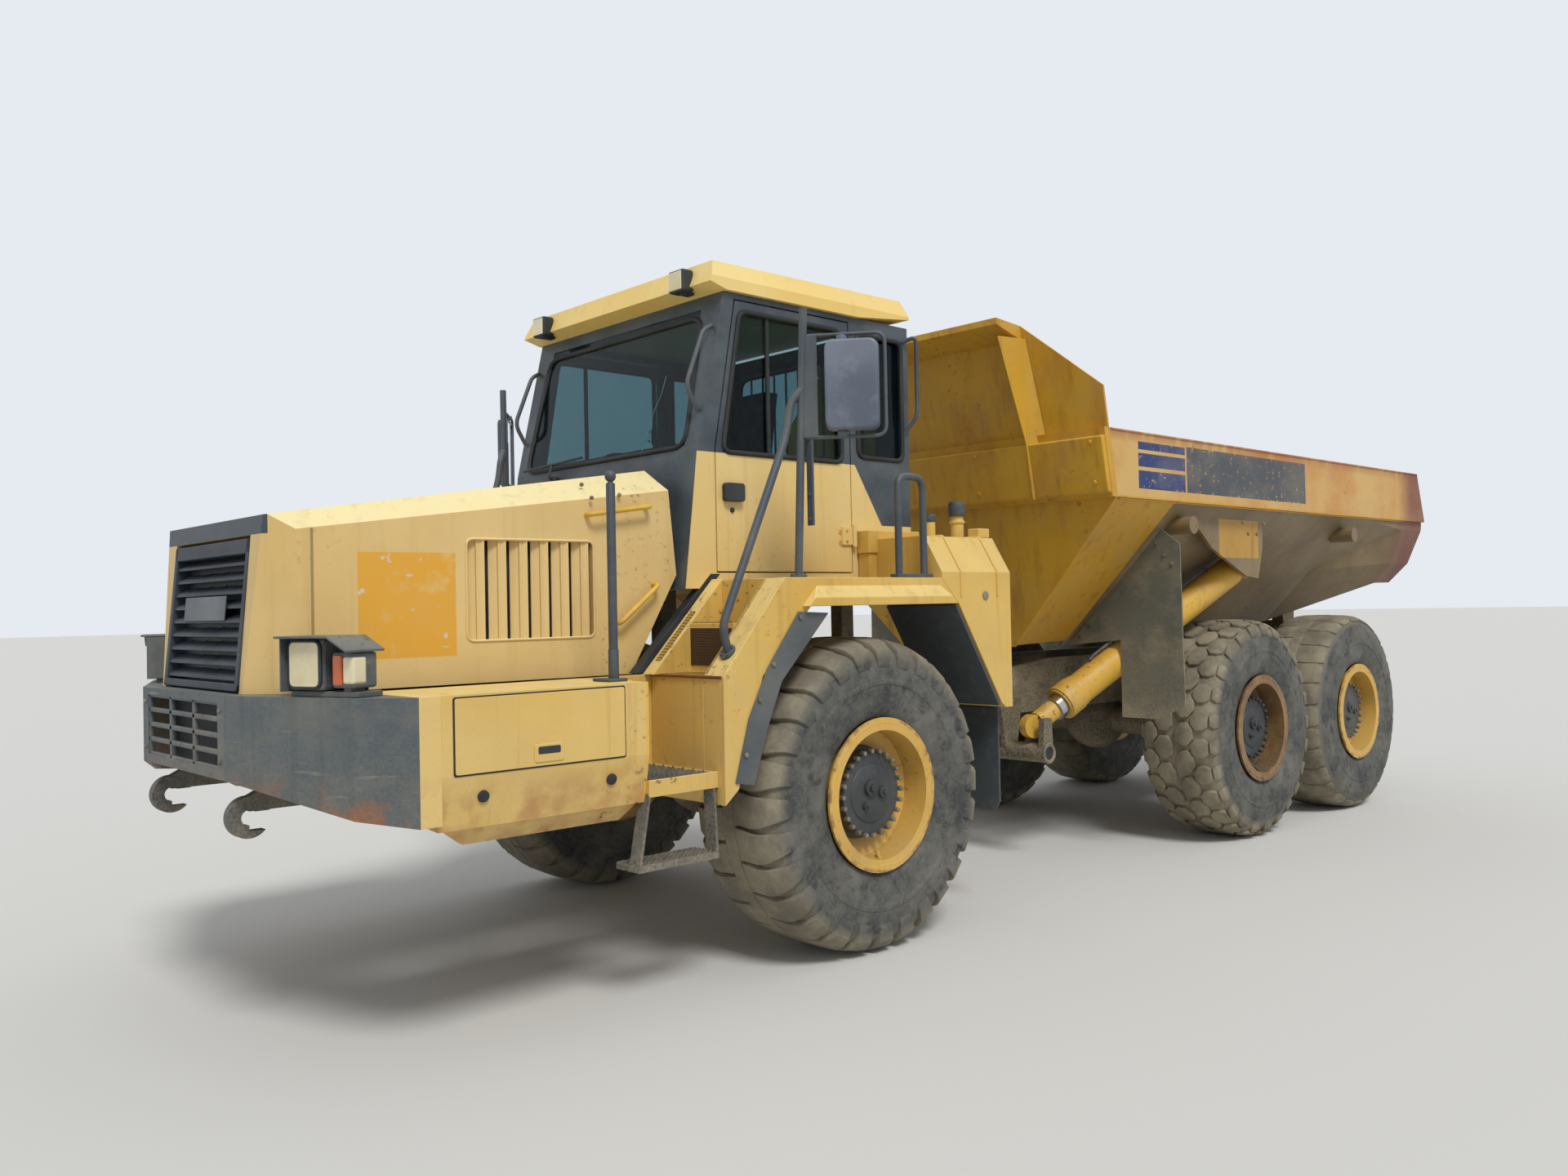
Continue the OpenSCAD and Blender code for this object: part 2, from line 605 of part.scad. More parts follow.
module rails_and_mirrors() at_origin() color(dark) both_sides() {
    bent_tube([[1620, bumper_half - 20, bumper_top + fit_gap], [1620, bumper_half - 20, 2320],
        [1560, 1200, 2320], [1560, 1200, bumper_top + fit_gap]], rail_tube_d);
    bent_tube([[950, post_half, slope_z(950) + 30], [730, post_half, 2355], [545, post_half + 5, 2600],
        [545, post_half + 10, 2775], [post_top[0] + 8, post_top[1] - 12, 2860]], rail_tube_d);
    bar(post_foot, post_top, rail_tube_d);
    bent_tube([[-260, post_half - 20, deck_z + fit_gap], [-260, post_half - 20, 2440],
        [-460, post_half - 20, 2440], [-460, post_half - 20, deck_z + fit_gap]], rail_tube_d);
    translate([post_top[0] - 5, post_top[1], 0]) rotate([0, 0, mirror_angle]) {
        box([-10, -14, mirror_low], [60, -2, mirror_high]);
        for (z = [mirror_low, mirror_high]) box([0, -8, z - 8], [mirror_reach, 8, z + 8]);
        box([mirror_reach - 16, -8, mirror_low], [mirror_reach, 8, mirror_high]);
        box([100, -60, mirror_low + 8], [mirror_reach - 30, 0, mirror_high - 8]);
    }
}

// Height of the roof's underside ahead of the windscreen
function brow_z(x) = cab_wall_z + fit_gap + brow_rise * (x - brow_x) / brow_reach;

// Headlamps on the bumper and work lamps under the roof's brow
module lamps() at_origin() color(black) both_sides() {
    difference() {
        side_plate([[2470, bumper_top + fit_gap], [2850, bumper_top + fit_gap], [2860, 1600],
            [2790, 1670], [2520, 1650]], 910, 1180);
        box([2800, 935, 1475], [2900, 1155, 1630]);
    }
    box([2790, 940, 1480], [2815, 1150, 1625]);
    bar_x(brow_x + 30, brow_x + 120, 600, cab_wall_z - 65, 110);
    side_plate([[brow_x + 50, cab_wall_z - 65], [brow_x + 85, cab_wall_z - 65],
        [brow_x + 85, brow_z(brow_x + 85) - fit_gap], [brow_x + 50, brow_z(brow_x + 50) - fit_gap]], 580, 620);
}

// Hitch: the upright steering hub and the tube on which the rear chassis rolls
hub_r = 130;
ring_front = pivot_x - 300;
ring_rear = pivot_x - 700;
tube_end = ring_rear - 50;

module hitch() at_origin() color(dark) {
    bar_z(pivot_x, 0, jaw_bottom + jaw_t + 5, jaw_top - jaw_t - 5, 2 * hub_r);
    bar_z(pivot_x, 0, jaw_bottom, jaw_top, steer_pin_d);
    bar_x(tube_end, pivot_x, 0, roll_z, roll_tube_d);
    bar_x(ring_front + 5, pivot_x - 150, 0, roll_z, roll_tube_d + 100);
    bar_x(tube_end, ring_rear - 5, 0, roll_z, roll_tube_d + 80);
    both_sides() flat_plate([[pivot_x - 60, 0], [pivot_x - 250, 0], [steer_eye_x - 60, steer_eye_y + 20],
        [steer_eye_x + 60, steer_eye_y + 60], [steer_eye_x + 70, steer_eye_y - 60]],
        roll_z - 70, roll_z - 35);
}

// Steering cylinder, drawn along its own line from base to eye
steer_line = [steer_eye_x - steer_base_x, steer_eye_y - steer_base_y, 0];
steer_len = norm(steer_line);
steer_angle = atan2(steer_line[1], steer_line[0]);
steer_tube_len = 700;
steer_eye_w = 60;

module steer_place(side) at_origin() on_side(side) translate([steer_base_x, steer_base_y, roll_z])
    rotate([0, 0, steer_angle]) children();

module steer_tube(side) color(yellow) steer_place(side) difference() {
    union() {
        bar_x(40, steer_tube_len, 0, 0, steer_tube_d);
        translate([0, 0, -steer_grip + 30]) cylinder(h = 2 * steer_grip - 60, d = 110);
    }
    bar_x(130, steer_tube_len + cut, 0, 0, steer_rod_d + 2 * running_gap);
    translate([0, 0, -steer_grip]) cylinder(h = 2 * steer_grip, d = steer_pin + 2 * running_gap);
}

module steer_rod(side) color(chrome) steer_place(side) {
    bar_x(365, steer_len - 50, 0, 0, steer_rod_d);
    difference() {
        translate([steer_len, 0, -steer_eye_w / 2]) cylinder(h = steer_eye_w, d = 120);
        translate([steer_len, 0, -steer_eye_w]) cylinder(h = 2 * steer_eye_w, d = 60);
    }
}

module steer_tube_left() steer_tube(1);
module steer_tube_right() steer_tube(-1);
module steer_rod_left() steer_rod(1);
module steer_rod_right() steer_rod(-1);

// Rear chassis
rear_rail_z = 980;
rear_rail_h = 370;
rear_rail_front = ring_rear - 170;
rear_rail_end = tip_x - 110;
hoist_foot = [-2360, 640, 910];
hoist_head = [-4200, 1190, 1990];
hoist_pin_d = 80;
tip_range = 70;

// The foot as the body sees it when it is fully tipped
function unit(v) = v / norm(v);
function turned_back(v) = [cos(tip_range) * v[0] + sin(tip_range) * v[2], v[1],
    -sin(tip_range) * v[0] + cos(tip_range) * v[2]];
tip_pin = [tip_x, 0, tip_z];
foot_at_full = tip_pin + turned_back(hoist_foot - tip_pin);
swing_chord = unit(unit(foot_at_full - hoist_head) - unit(hoist_foot - hoist_head));
swing_axis = unit([0, 1, 0] - swing_chord * swing_chord[1]);

module rear_rail() side_plate([[rear_rail_front, rear_rail_z], [rear_rail_front, rear_rail_z + rear_rail_h - 60],
    [rear_rail_front - 600, rear_rail_z + rear_rail_h], [tip_x + 250, rear_rail_z + rear_rail_h],
    [tip_x + 60, tip_z + 70], [tip_x - 60, tip_z + 70], [rear_rail_end, tip_z - 100],
    [rear_rail_end, rear_rail_z + 60], [tip_x + 100, rear_rail_z]],
    rail_half - rail_t / 2, rail_half + rail_t / 2);

// Jaw for towing at the rear end, with an upright pin bore through both plates
tow_x = rear_rail_end - 90;
tow_z = 1080;
tow_pin_d = 60;
tow_plate_t = 40;

tow_jaw_r = 90;
tow_jaw_h = 220;
tail_wall_x = rear_rail_end + 20;

module tow_jaw() at_origin() color(dark) difference() {
    union() {
        for (z = [tow_z - tow_jaw_h / 2, tow_z + tow_jaw_h / 2 - tow_plate_t]) {
            box([tow_x, -tow_jaw_r, z], [tail_wall_x - fit_gap, tow_jaw_r, z + tow_plate_t]);
            bar_z(tow_x, 0, z, z + tow_plate_t, 2 * tow_jaw_r);
        }
        box([tail_wall_x - 20, -tow_jaw_r, tow_z - tow_jaw_h / 2],
            [tail_wall_x - fit_gap, tow_jaw_r, tow_z + tow_jaw_h / 2]);
    }
    bar_z(tow_x, 0, tow_z - tow_jaw_h, tow_z + tow_jaw_h, tow_pin_d);
}

// Feet of the hoist cylinders: a tube across under the rails, with a plate on each side of an eye
foot_tube_d = 130;
foot_tube_z = hoist_foot[2] - 175;
foot_plate_t = 40;
foot_out = hoist_foot[1] + 92;

module hoist_feet() at_origin() color(dark) {
    bar_y(hoist_foot[0], -foot_out - foot_plate_t, foot_out + foot_plate_t, foot_tube_z, foot_tube_d);
    both_sides() {
        side_plate([[hoist_foot[0] - 60, foot_tube_z], [hoist_foot[0] + 60, foot_tube_z],
            [hoist_foot[0] + 45, hoist_foot[2] + 60], [hoist_foot[0] - 45, hoist_foot[2] + 60]],
            foot_out, foot_out + foot_plate_t);
        side_plate([[hoist_foot[0] - 60, foot_tube_z], [hoist_foot[0] + 60, foot_tube_z],
            [hoist_foot[0] + 130, rear_rail_z + 120], [hoist_foot[0] - 130, rear_rail_z + 120]],
            rail_half + rail_t / 2 + fit_gap, rail_half + rail_t / 2 + foot_plate_t);
    }
}

module rear_frame() at_origin() color(dark) difference() {
    union() {
        both_sides() rear_rail();
        difference() {
            bar_x(ring_rear, ring_front, 0, roll_z, roll_tube_d + 160);
            bar_x(ring_rear - cut, ring_front + cut, 0, roll_z, roll_tube_d + 2 * running_gap);
        }
        difference() {
            box([rear_rail_front - 150, -rail_half - rail_t / 2, rear_rail_z],
                [ring_rear, rail_half + rail_t / 2, rear_rail_z + rear_rail_h - 60]);
            bar_x(rear_rail_front - 200, ring_rear + cut, 0, roll_z, roll_tube_d + 120);
        }
        for (x = [-3300, mid_x + 120, -5000, rear_x + 150])
            box([x - 60, -rail_half, rear_rail_z + 60], [x + 60, rail_half, rear_rail_z + rear_rail_h - 60]);
        box([tail_wall_x, -rail_half, rear_rail_z], [tail_wall_x + 40, rail_half, tow_z + 150]);
    }
    bar_y(tip_x, -rail_half - rail_t, rail_half + rail_t, tip_z, tip_pin_d + 2 * running_gap);
}

module rear_axles() at_origin() color(dark) {
    axle(mid_x);
    axle(rear_x);
}

// Walking beams between the two rear axles, on a shaft under the rails
module bogie_beams() at_origin() color(dark) {
    pivot = (mid_x + rear_x) / 2;
    both_sides() difference() {
        side_plate([[mid_x + 90, wheel_z + 100 + axle_d / 2], [mid_x - 150, wheel_z + 120 + axle_d / 2],
            [pivot + 150, 1180], [pivot - 150, 1180], [rear_x + 150, wheel_z + 120 + axle_d / 2],
            [rear_x - 90, wheel_z + 100 + axle_d / 2], [rear_x - 90, wheel_z + axle_d / 2 + fit_gap],
            [rear_x + 100, wheel_z + axle_d / 2 + fit_gap],
            [pivot - 130, 900], [pivot + 130, 900], [mid_x - 100, wheel_z + axle_d / 2 + fit_gap],
            [mid_x + 90, wheel_z + axle_d / 2 + fit_gap]],
            500, 620);
    }
    bar_y(pivot, rail_half + rail_t / 2 + fit_gap, 500, 1080, 140);
    bar_y(pivot, -500, -rail_half - rail_t / 2 - fit_gap, 1080, 140);
}

// Dump body: sections from the headboard to the tail, joined by flat panels
body_front_x = -2200;
floor_bend_x = -5900;
chute_x = -6850;
chute_z = 1870;
front_slope = 180 / 960;
body_side_half = body_half - 30;
wall_out = body_side_half - body_floor_half;
wall_up = body_rail_z - body_floor_z;
function wall_half(z) = body_floor_half + wall_out * (z - body_floor_z) / wall_up;

// x, floor half, floor z, bilge half, bilge z, wall foot z
body_sections = [
    [body_front_x + 300, body_floor_half, body_floor_z, wall_half(1930), 1930, body_rail_z],
    [floor_bend_x, wall_half(1550), 1550, wall_half(1980), 1980, body_rail_z],
    [chute_x, 1180, chute_z, 1330, 2040, 2330],
    [-tail_x - 200, 1180, chute_z, 1330, 2040, 2330]
];

// One section as eight points, drawn in by the plate's thickness for the inside
function body_ring(sec, t) = let (x = sec[0], side = [
        [sec[1] - 0.4 * t, sec[2] + t], [sec[3] - 1.3 * t, sec[4]],
        [body_side_half - t, sec[5] + 0.4 * t], [body_side_half - t, body_rail_z + (t > 0 ? 600 : 60)]])
    concat([for (p = side) [x, p[0], p[1]]], [for (i = [3 : -1 : 0]) [x, -side[i][0], side[i][1]]]);

// Joins rings of equal length into one closed form
module loft(rings) {
    n = len(rings[0]);
    last = len(rings) - 1;
    polyhedron(
        points = [for (r = rings) each r],
        faces = concat(
            [[for (i = [n - 1 : -1 : 0]) i]],
            [for (k = [0 : last - 1], i = [0 : n - 1], half = [0, 1]) half == 0
                ? [k * n + i, k * n + (i + 1) % n, (k + 1) * n + (i + 1) % n]
                : [k * n + i, (k + 1) * n + (i + 1) % n, (k + 1) * n + i]],
            [[for (i = [0 : n - 1]) last * n + i]]));
}

// Everything ahead of the leaning front plane, or past the raked tail
module body_ends() {
    side_plate([[front_plane(1000), 1000], [front_plane(4000), 4000], [0, 4000], [0, 1000]], -2000, 2000);
    side_plate([[-tail_x + 200, chute_z - 400], [-tail_x + 150, chute_z], [-tail_x, body_rail_z - 30],
        [-tail_x, body_rail_top + 100], [-tail_x - 600, body_rail_top + 100], [-tail_x - 600, chute_z - 400]],
        -2000, 2000);
}
function front_plane(z) = body_front_x + (z - body_rail_z) * front_slope;

// Round lugs under the side rails
lug_x = [-3140, -5770];
lug_drop = 150;
lug_d = 120;

module dump_body() at_origin() color(body_yellow) {
    difference() {
        union() {
            loft([for (sec = body_sections) body_ring(sec, 0)]);
            both_sides() {
                side_plate([[body_front_x + 200, body_rail_z], [body_front_x + 200, body_rail_top],
                    [-tail_x + 150, body_rail_top], [-tail_x, body_rail_z]], body_half - body_rail_w, body_half);
                for (x = lug_x)
                    bar_y(x, wall_half(body_rail_z - lug_drop) - 20, body_half, body_rail_z - lug_drop, lug_d);
                side_plate([[-3190, body_rail_z], [-3590, 2120], [hoist_head[0] + 110, hoist_head[2] - 70],
                    [hoist_head[0] - 90, hoist_head[2] - 90], [hoist_head[0] - 160, 2120], [-4380, body_rail_z]],
                    hoist_head[1] + hoist_d / 2 + 12, hoist_head[1] + hoist_d / 2 + 37);
            }
        }
        loft([for (sec = body_sections) body_ring([sec[0] + (sec[0] > -3000 ? 1 : -1),
            sec[1], sec[2], sec[3], sec[4], sec[5]], body_t)]);
        body_ends();
    }
    both_sides() {
        bar(hoist_head - 60 * swing_axis, hoist_head + (hoist_d / 2 + 37) * swing_axis, hoist_pin_d);
        side_plate([[tip_x - 90, tip_z - 90], [tip_x + 90, tip_z - 90], [tip_x + 160, 1770], [tip_x - 120, 1860]],
            rail_half + rail_t / 2 + 6, rail_half + rail_t / 2 + 66);
    }
    bar_y(tip_x, -rail_half - rail_t / 2 - 66, rail_half + rail_t / 2 + 66, tip_z, tip_pin_d);
}

// Headboard: leans forwards, wrapped by the rail's band, with a canopy lip on top
module leaning_plate(z0, z1, near, far) side_plate([[front_plane(z0) + near, z0], [front_plane(z0) + far, z0],
    [front_plane(z1) + far, z1], [front_plane(z1) + near, z1]], -body_half, body_half);

module headboard() at_origin() color(body_yellow) {
    intersection() {
        cross_plate([[-body_half, body_rail_z], [-body_half, 3100], [-900, headboard_top], [900, headboard_top],
            [body_half, 3100], [body_half, body_rail_z], [body_floor_half, body_floor_z],
            [-body_floor_half, body_floor_z]], -2600, -1600);
        leaning_plate(body_floor_z - 50, headboard_top + 50, fit_gap, body_t);
    }
    leaning_plate(body_rail_z, body_rail_top, body_t, body_t + 40);
    side_plate([[front_plane(headboard_top - 90) + body_t, headboard_top - 90],
        [front_plane(headboard_top) + 270, headboard_top - 20], [front_plane(headboard_top) + 270, headboard_top + 20],
        [front_plane(headboard_top), headboard_top]], -900, 900);
}

// Guards ahead of the middle tyres, carried by the body
module body_guards() at_origin() color(dark) both_sides()
    cross_plate([[520, 1440], [1283, 2240], [1417, 2130], [1430, 1040], [1230, 940], [950, 940], [950, 1480]],
        -3010, -2998);

// Hoist cylinder, drawn along its own line from head to foot
hoist_line = hoist_foot - hoist_head;
hoist_len = norm(hoist_line);
hoist_eye_r = 80;
hoist_gap_foot = 160;

module hoist_place(side) at_origin() on_side(side) translate(hoist_head)
    rotate([0, 0, atan2(hoist_line[1], hoist_line[0])])
    rotate([0, acos(hoist_line[2] / hoist_len), 0]) rotate([0, 0, 90]) children();

module hoist_tube(side) color(body_yellow) difference() {
    union() {
        hoist_place(side) translate([0, 0, 60]) cylinder(h = hoist_len - 60 - hoist_gap_foot - 120, d = hoist_d);
        at_origin() on_side(side) bar(hoist_head - 55 * swing_axis, hoist_head + (hoist_d / 2 - 4) * swing_axis, 180);
    }
    hoist_place(side) translate([0, 0, 150]) cylinder(h = hoist_len, d = hoist_stage_d + 2 * running_gap);
    at_origin() on_side(side) bar(hoist_head - hoist_d * swing_axis, hoist_head + hoist_d * swing_axis,
        hoist_pin_d + 2 * running_gap);
}

module hoist_stage(side) color(chrome) hoist_place(side) difference() {
    translate([0, 0, 200]) cylinder(h = hoist_len - 200 - hoist_gap_foot - 60, d = hoist_stage_d);
    translate([0, 0, 260]) cylinder(h = hoist_len, d = hoist_rod_d + 2 * running_gap);
}

module hoist_rod(side) color(body_yellow) hoist_place(side) {
    translate([0, 0, 320]) cylinder(h = hoist_len - 320 - 60, d = hoist_rod_d);
    translate([0, 0, hoist_len]) rotate([0, 90, 0]) cylinder(h = 70, d = 2 * hoist_eye_r, center = true);
}

module hoist_tube_left() hoist_tube(1);
module hoist_tube_right() hoist_tube(-1);
module hoist_stage_left() hoist_stage(1);
module hoist_stage_right() hoist_stage(-1);
module hoist_rod_left() hoist_rod(1);
module hoist_rod_right() hoist_rod(-1);

// Tyre and rim, turned about the wheel's own axis
module wheel_place(x, side) at_origin() on_side(side) translate([x, track_half, wheel_z])
    rotate([-90, 0, 0]) children();

rim_wall = 14;
rim_edge = tyre_w / 2 - 12;
barrel_r = rim_d / 2 - 50;

function tyre_profile() = [
    [barrel_r, -bead_z], [rim_d / 2 + 2, -bead_z], [rim_d / 2 + 10, -tyre_w / 2 + 12],
    [tyre_d * 0.33, -tyre_w / 2], [tyre_d * 0.44, -tyre_w / 2 + 8], [tyre_d / 2 - 22, -tyre_w / 2 + 45],
    [tyre_d / 2, -tyre_w / 2 + 110], [tyre_d / 2, tyre_w / 2 - 110], [tyre_d / 2 - 22, tyre_w / 2 - 45],
    [tyre_d * 0.44, tyre_w / 2 - 8], [tyre_d * 0.33, tyre_w / 2], [rim_d / 2 + 10, tyre_w / 2 - 12],
    [rim_d / 2 + 2, bead_z], [barrel_r, bead_z]
];
bead_z = rim_edge - rim_wall - fit_gap;

module tyre(x, side) color(rubber) wheel_place(x, side) rotate_extrude() polygon(tyre_profile());

// Rim: a barrel with a flange at each edge, a dished disc and the hub that takes the spindle
disc_z = 60;

module rim_ring(r_in, r_out, z0, z1) rotate_extrude() polygon([[r_in, z0], [r_out, z0], [r_out, z1], [r_in, z1]]);

module rim(x, side) color(yellow) wheel_place(x, side) difference() {
    union() {
        rim_ring(barrel_r - rim_wall, barrel_r - fit_gap, -rim_edge, rim_edge);
        for (z = [-rim_edge, rim_edge - rim_wall]) rim_ring(barrel_r - rim_wall, rim_d / 2, z, z + rim_wall);
        rotate_extrude() polygon([[hub_d / 2 - cut, disc_z], [barrel_r - 8, disc_z + 50],
            [barrel_r - 8, disc_z + 75], [hub_d / 2 - cut, disc_z + 25]]);
        translate([0, 0, -100]) cylinder(h = 290, d = hub_d);
    }
    translate([0, 0, -200]) cylinder(h = 280, d = spindle_d + 2 * running_gap);
}

module tyre_front_left() tyre(0, 1);
module tyre_front_right() tyre(0, -1);
module tyre_mid_left() tyre(mid_x, 1);
module tyre_mid_right() tyre(mid_x, -1);
module tyre_rear_left() tyre(rear_x, 1);
module tyre_rear_right() tyre(rear_x, -1);
module rim_front_left() rim(0, 1);
module rim_front_right() rim(0, -1);
module rim_mid_left() rim(mid_x, 1);
module rim_mid_right() rim(mid_x, -1);
module rim_rear_left() rim(rear_x, 1);
module rim_rear_right() rim(rear_x, -1);

front_frame();
front_axle();
engine_block();
bumper();
tow_hooks();
hood();
grille();
side_fairings();
fenders();
steps();
side_tanks();
rubber_flaps();
cab_shell();
cab_roof();
cab_glass();
cab_seat();
cab_controls();
rails_and_mirrors();
lamps();
door_left();
door_right();
door_glass_left();
door_glass_right();
hitch();
steer_tube_left();
steer_tube_right();
steer_rod_left();
steer_rod_right();
rear_frame();
rear_axles();
bogie_beams();
hoist_feet();
tow_jaw();
dump_body();
headboard();
body_guards();
hoist_tube_left();
hoist_tube_right();
hoist_stage_left();
hoist_stage_right();
hoist_rod_left();
hoist_rod_right();
tyre_front_left();
tyre_front_right();
tyre_mid_left();
tyre_mid_right();
tyre_rear_left();
tyre_rear_right();
rim_front_left();
rim_front_right();
rim_mid_left();
rim_mid_right();
rim_rear_left();
rim_rear_right();
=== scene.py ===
# Dresses the articulated dump truck: paints the built pieces, adds the finer ones
# and sets up the floor, the light and the camera.
import math

import bpy
from mathutils import Matrix, Vector


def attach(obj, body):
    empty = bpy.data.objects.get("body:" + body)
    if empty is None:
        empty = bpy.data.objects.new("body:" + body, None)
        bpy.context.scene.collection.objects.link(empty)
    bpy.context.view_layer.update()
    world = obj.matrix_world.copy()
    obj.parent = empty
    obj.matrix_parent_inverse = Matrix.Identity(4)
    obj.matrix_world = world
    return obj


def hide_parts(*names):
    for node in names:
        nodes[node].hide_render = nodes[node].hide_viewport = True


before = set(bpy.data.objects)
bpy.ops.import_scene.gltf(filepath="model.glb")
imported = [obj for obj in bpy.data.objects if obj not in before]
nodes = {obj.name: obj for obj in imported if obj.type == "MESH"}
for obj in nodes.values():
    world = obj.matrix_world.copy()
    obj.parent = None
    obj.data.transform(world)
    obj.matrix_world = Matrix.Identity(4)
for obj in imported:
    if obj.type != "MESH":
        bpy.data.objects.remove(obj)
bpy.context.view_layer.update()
axleShift = 2.205  # the front axle lies this far ahead of the origin

print("frame loaded:", len(nodes), "pieces")


def at(x, y, z):  # a place measured from the front axle and the ground
    return Vector((x + axleShift, y, z))


def tone(red, green, blue):  # a screen colour as the shader wants it
    def linear(c):
        c = c / 255
        return c / 12.92 if c <= 0.04045 else ((c + 0.055) / 1.055) ** 2.4
    return (linear(red), linear(green), linear(blue), 1.0)


# shader writing: a socket that takes part in sums
class Wire:
    def __init__(self, shade, socket):
        self.shade, self.socket = shade, socket

    def maths(self, operation, first, second=0.0):
        return self.shade.add("ShaderNodeMath", {0: first, 1: second}, {"operation": operation})

    def __add__(self, other):
        return self.maths("ADD", self, other)

    def __radd__(self, other):
        return self.maths("ADD", other, self)

    def __sub__(self, other):
        return self.maths("SUBTRACT", self, other)

    def __rsub__(self, other):
        return self.maths("SUBTRACT", other, self)

    def __mul__(self, other):
        return self.maths("MULTIPLY", self, other)

    def __gt__(self, other):
        return self.maths("GREATER_THAN", self, other)

    def __lt__(self, other):
        return self.maths("LESS_THAN", self, other)

    def size(self):
        return self.maths("ABSOLUTE", self)

    def between(self, low, high):  # 0 at low, 1 at high, held outside them
        return self.shade.add("ShaderNodeMapRange", {0: self, 1: low, 2: high}, {"clamp": True})


class Shade:
    def __init__(self, name):
        self.material = bpy.data.materials.new(name)
        self.material.use_nodes = True
        self.tree = self.material.node_tree
        self.tree.nodes.clear()
        self.coords = self.add("ShaderNodeTexCoord", output="Object")
        parts = self.add("ShaderNodeSeparateXYZ", {0: self.coords}).socket.node.outputs
        self.x, self.y, self.z = (Wire(self, parts[k]) for k in range(3))

    def add(self, kind, values=(), settings=(), output=0):
        node = self.tree.nodes.new(kind)
        for key, value in dict(settings).items():
            setattr(node, key, value)
        for key, value in dict(values).items():
            if isinstance(value, Wire):
                self.tree.links.new(value.socket, node.inputs[key])
            else:
                node.inputs[key].default_value = value
        return Wire(self, node.outputs[output]) if len(node.outputs) else node

    def noise(self, scale, detail=3.0, rough=0.55, stretch=(1, 1, 1), shift=(0, 0, 0)):
        spot = self.add("ShaderNodeMapping", {"Vector": self.coords, "Scale": stretch, "Location": shift})
        return self.add("ShaderNodeTexNoise", {"Vector": spot, "Scale": scale, "Detail": detail, "Roughness": rough})

    def mix(self, first, second, factor):
        return self.add("ShaderNodeMix", {0: factor, 6: first, 7: second}, {"data_type": "RGBA"}, 2)

    def facing(self):  # how far the surface faces up
        normal = self.add("ShaderNodeNewGeometry", output="Normal")
        return Wire(self, self.add("ShaderNodeSeparateXYZ", {0: normal}).socket.node.outputs[2])

    def toRow(self, wire, pitch):  # the distance to the nearest row, rows a pitch apart
        return wire.maths("PINGPONG", wire, pitch / 2) - pitch / 4

    def inside(self, wire, low, high):
        return (wire > low) * (wire < high)

    def finish(self, colour, rough, height=None, depth=0.001, **sockets):
        values = {"Base Color": colour, "Roughness": rough}
        if height is not None:
            values["Normal"] = self.add("ShaderNodeBump", {"Height": height, "Distance": depth})
        values.update({key.replace("_", " "): value for key, value in sockets.items()})
        self.add("ShaderNodeOutputMaterial", {"Surface": self.add("ShaderNodeBsdfPrincipled", values)})
        return self.material


dustTone = tone(176, 160, 128)
rustTone = tone(122, 66, 34)


def wornPaint(name, colours, amounts, marks=None, cloudScale=1.3, dustTop=1.7):
    # paint with faded clouds, lighter on faces that point up (painted sunlight, partly settled dust), streaks below,
    # dust in patches and chips down to rust
    s = Shade(name)
    base, faded, top, grime = (tone(*colour) for colour in colours)
    streaks, dusty, lowDust, chipped, rough = amounts
    cloud = s.noise(cloudScale, 4)
    grain = s.noise(70, 4)
    streak = s.noise(1.0, 6, 0.6, (14, 14, 0.8))
    colour = s.mix(base, faded, cloud.between(0.34, 0.68))
    # faces that point up take the top colour: painted sunlight, partly settled dust
    colour = s.mix(colour, top, s.facing().between(0.35, 0.8) * 0.85)
    colour = s.mix(colour, grime, streak.between(0.54, 0.80) * streaks)
    if marks:
        colour = marks(s, colour)
    dust = s.noise(2.3, 8, 0.7, (1, 1, 1.6), (3, 1, 7)).between(0.46, 0.74) * dusty
    low = (1.0 - s.z.between(0.3, dustTop)) * lowDust
    colour = s.mix(colour, dustTone, dust + low * grain.between(0.3, 0.62))
    region = s.noise(1.1, 3, 0.5, (1, 1, 1), (9, 4, 2)).between(0.50, 0.66)
    chips = s.noise(26, 8, 0.72).between(0.60, 0.64) * region * chipped
    scratch = s.noise(1.0, 3, 0.6, (2.2, 2.2, 60), (0, 5, 0)).between(0.70, 0.73) * region * chipped
    colour = s.mix(s.mix(colour, rustTone, chips), rustTone, scratch * 0.5)
    height = cloud * 0.6 + grain * 0.05 - chips * 0.3
    return s.finish(colour, rough + dust * 0.35 + chips * 0.3 + grain * 0.08, height, 0.004)


def plainFinish(name, colour, second, rough, metal, scale, depth=0.0006, **sockets):
    s = Shade(name)
    grain = s.noise(scale, 5, 0.6)
    cloud = s.noise(scale / 12, 4)
    shade = s.mix(tone(*colour), tone(*second), cloud.between(0.4, 0.65))
    shade = s.mix(shade, tone(*second), grain.between(0.55, 0.7) * 0.4)
    return s.finish(shade, rough + grain * 0.12, grain, depth, Metallic=metal, **sockets)


def clearGlass(name, colour, bend):
    s = Shade(name)
    smear = s.noise(3, 6, 0.7).between(0.5, 0.8)
    film = s.mix(colour, tone(150, 168, 166), smear * 0.5)
    return s.finish(film, 0.0, Transmission_Weight=1.0, IOR=bend)


def holedSheet(name, colour, hole, pitch, radius, plane):
    # a sheet with rows of round holes, laid out along two of its own axes
    s = Shade(name)
    axis = (s.x, s.y, s.z)
    first, second = (s.toRow(axis[k], pitch) for k in plane)
    square = first * first + second * second
    holes = 1.0 - square.between(radius ** 2 * 0.8, radius ** 2 * 1.1)
    cloud = s.noise(6, 6, 0.65)
    paint = s.mix(colour, tone(150, 96, 48), cloud.between(0.48, 0.62) * 0.7)
    return s.finish(s.mix(paint, hole, holes), 0.6, 1.0 - holes, 0.004)


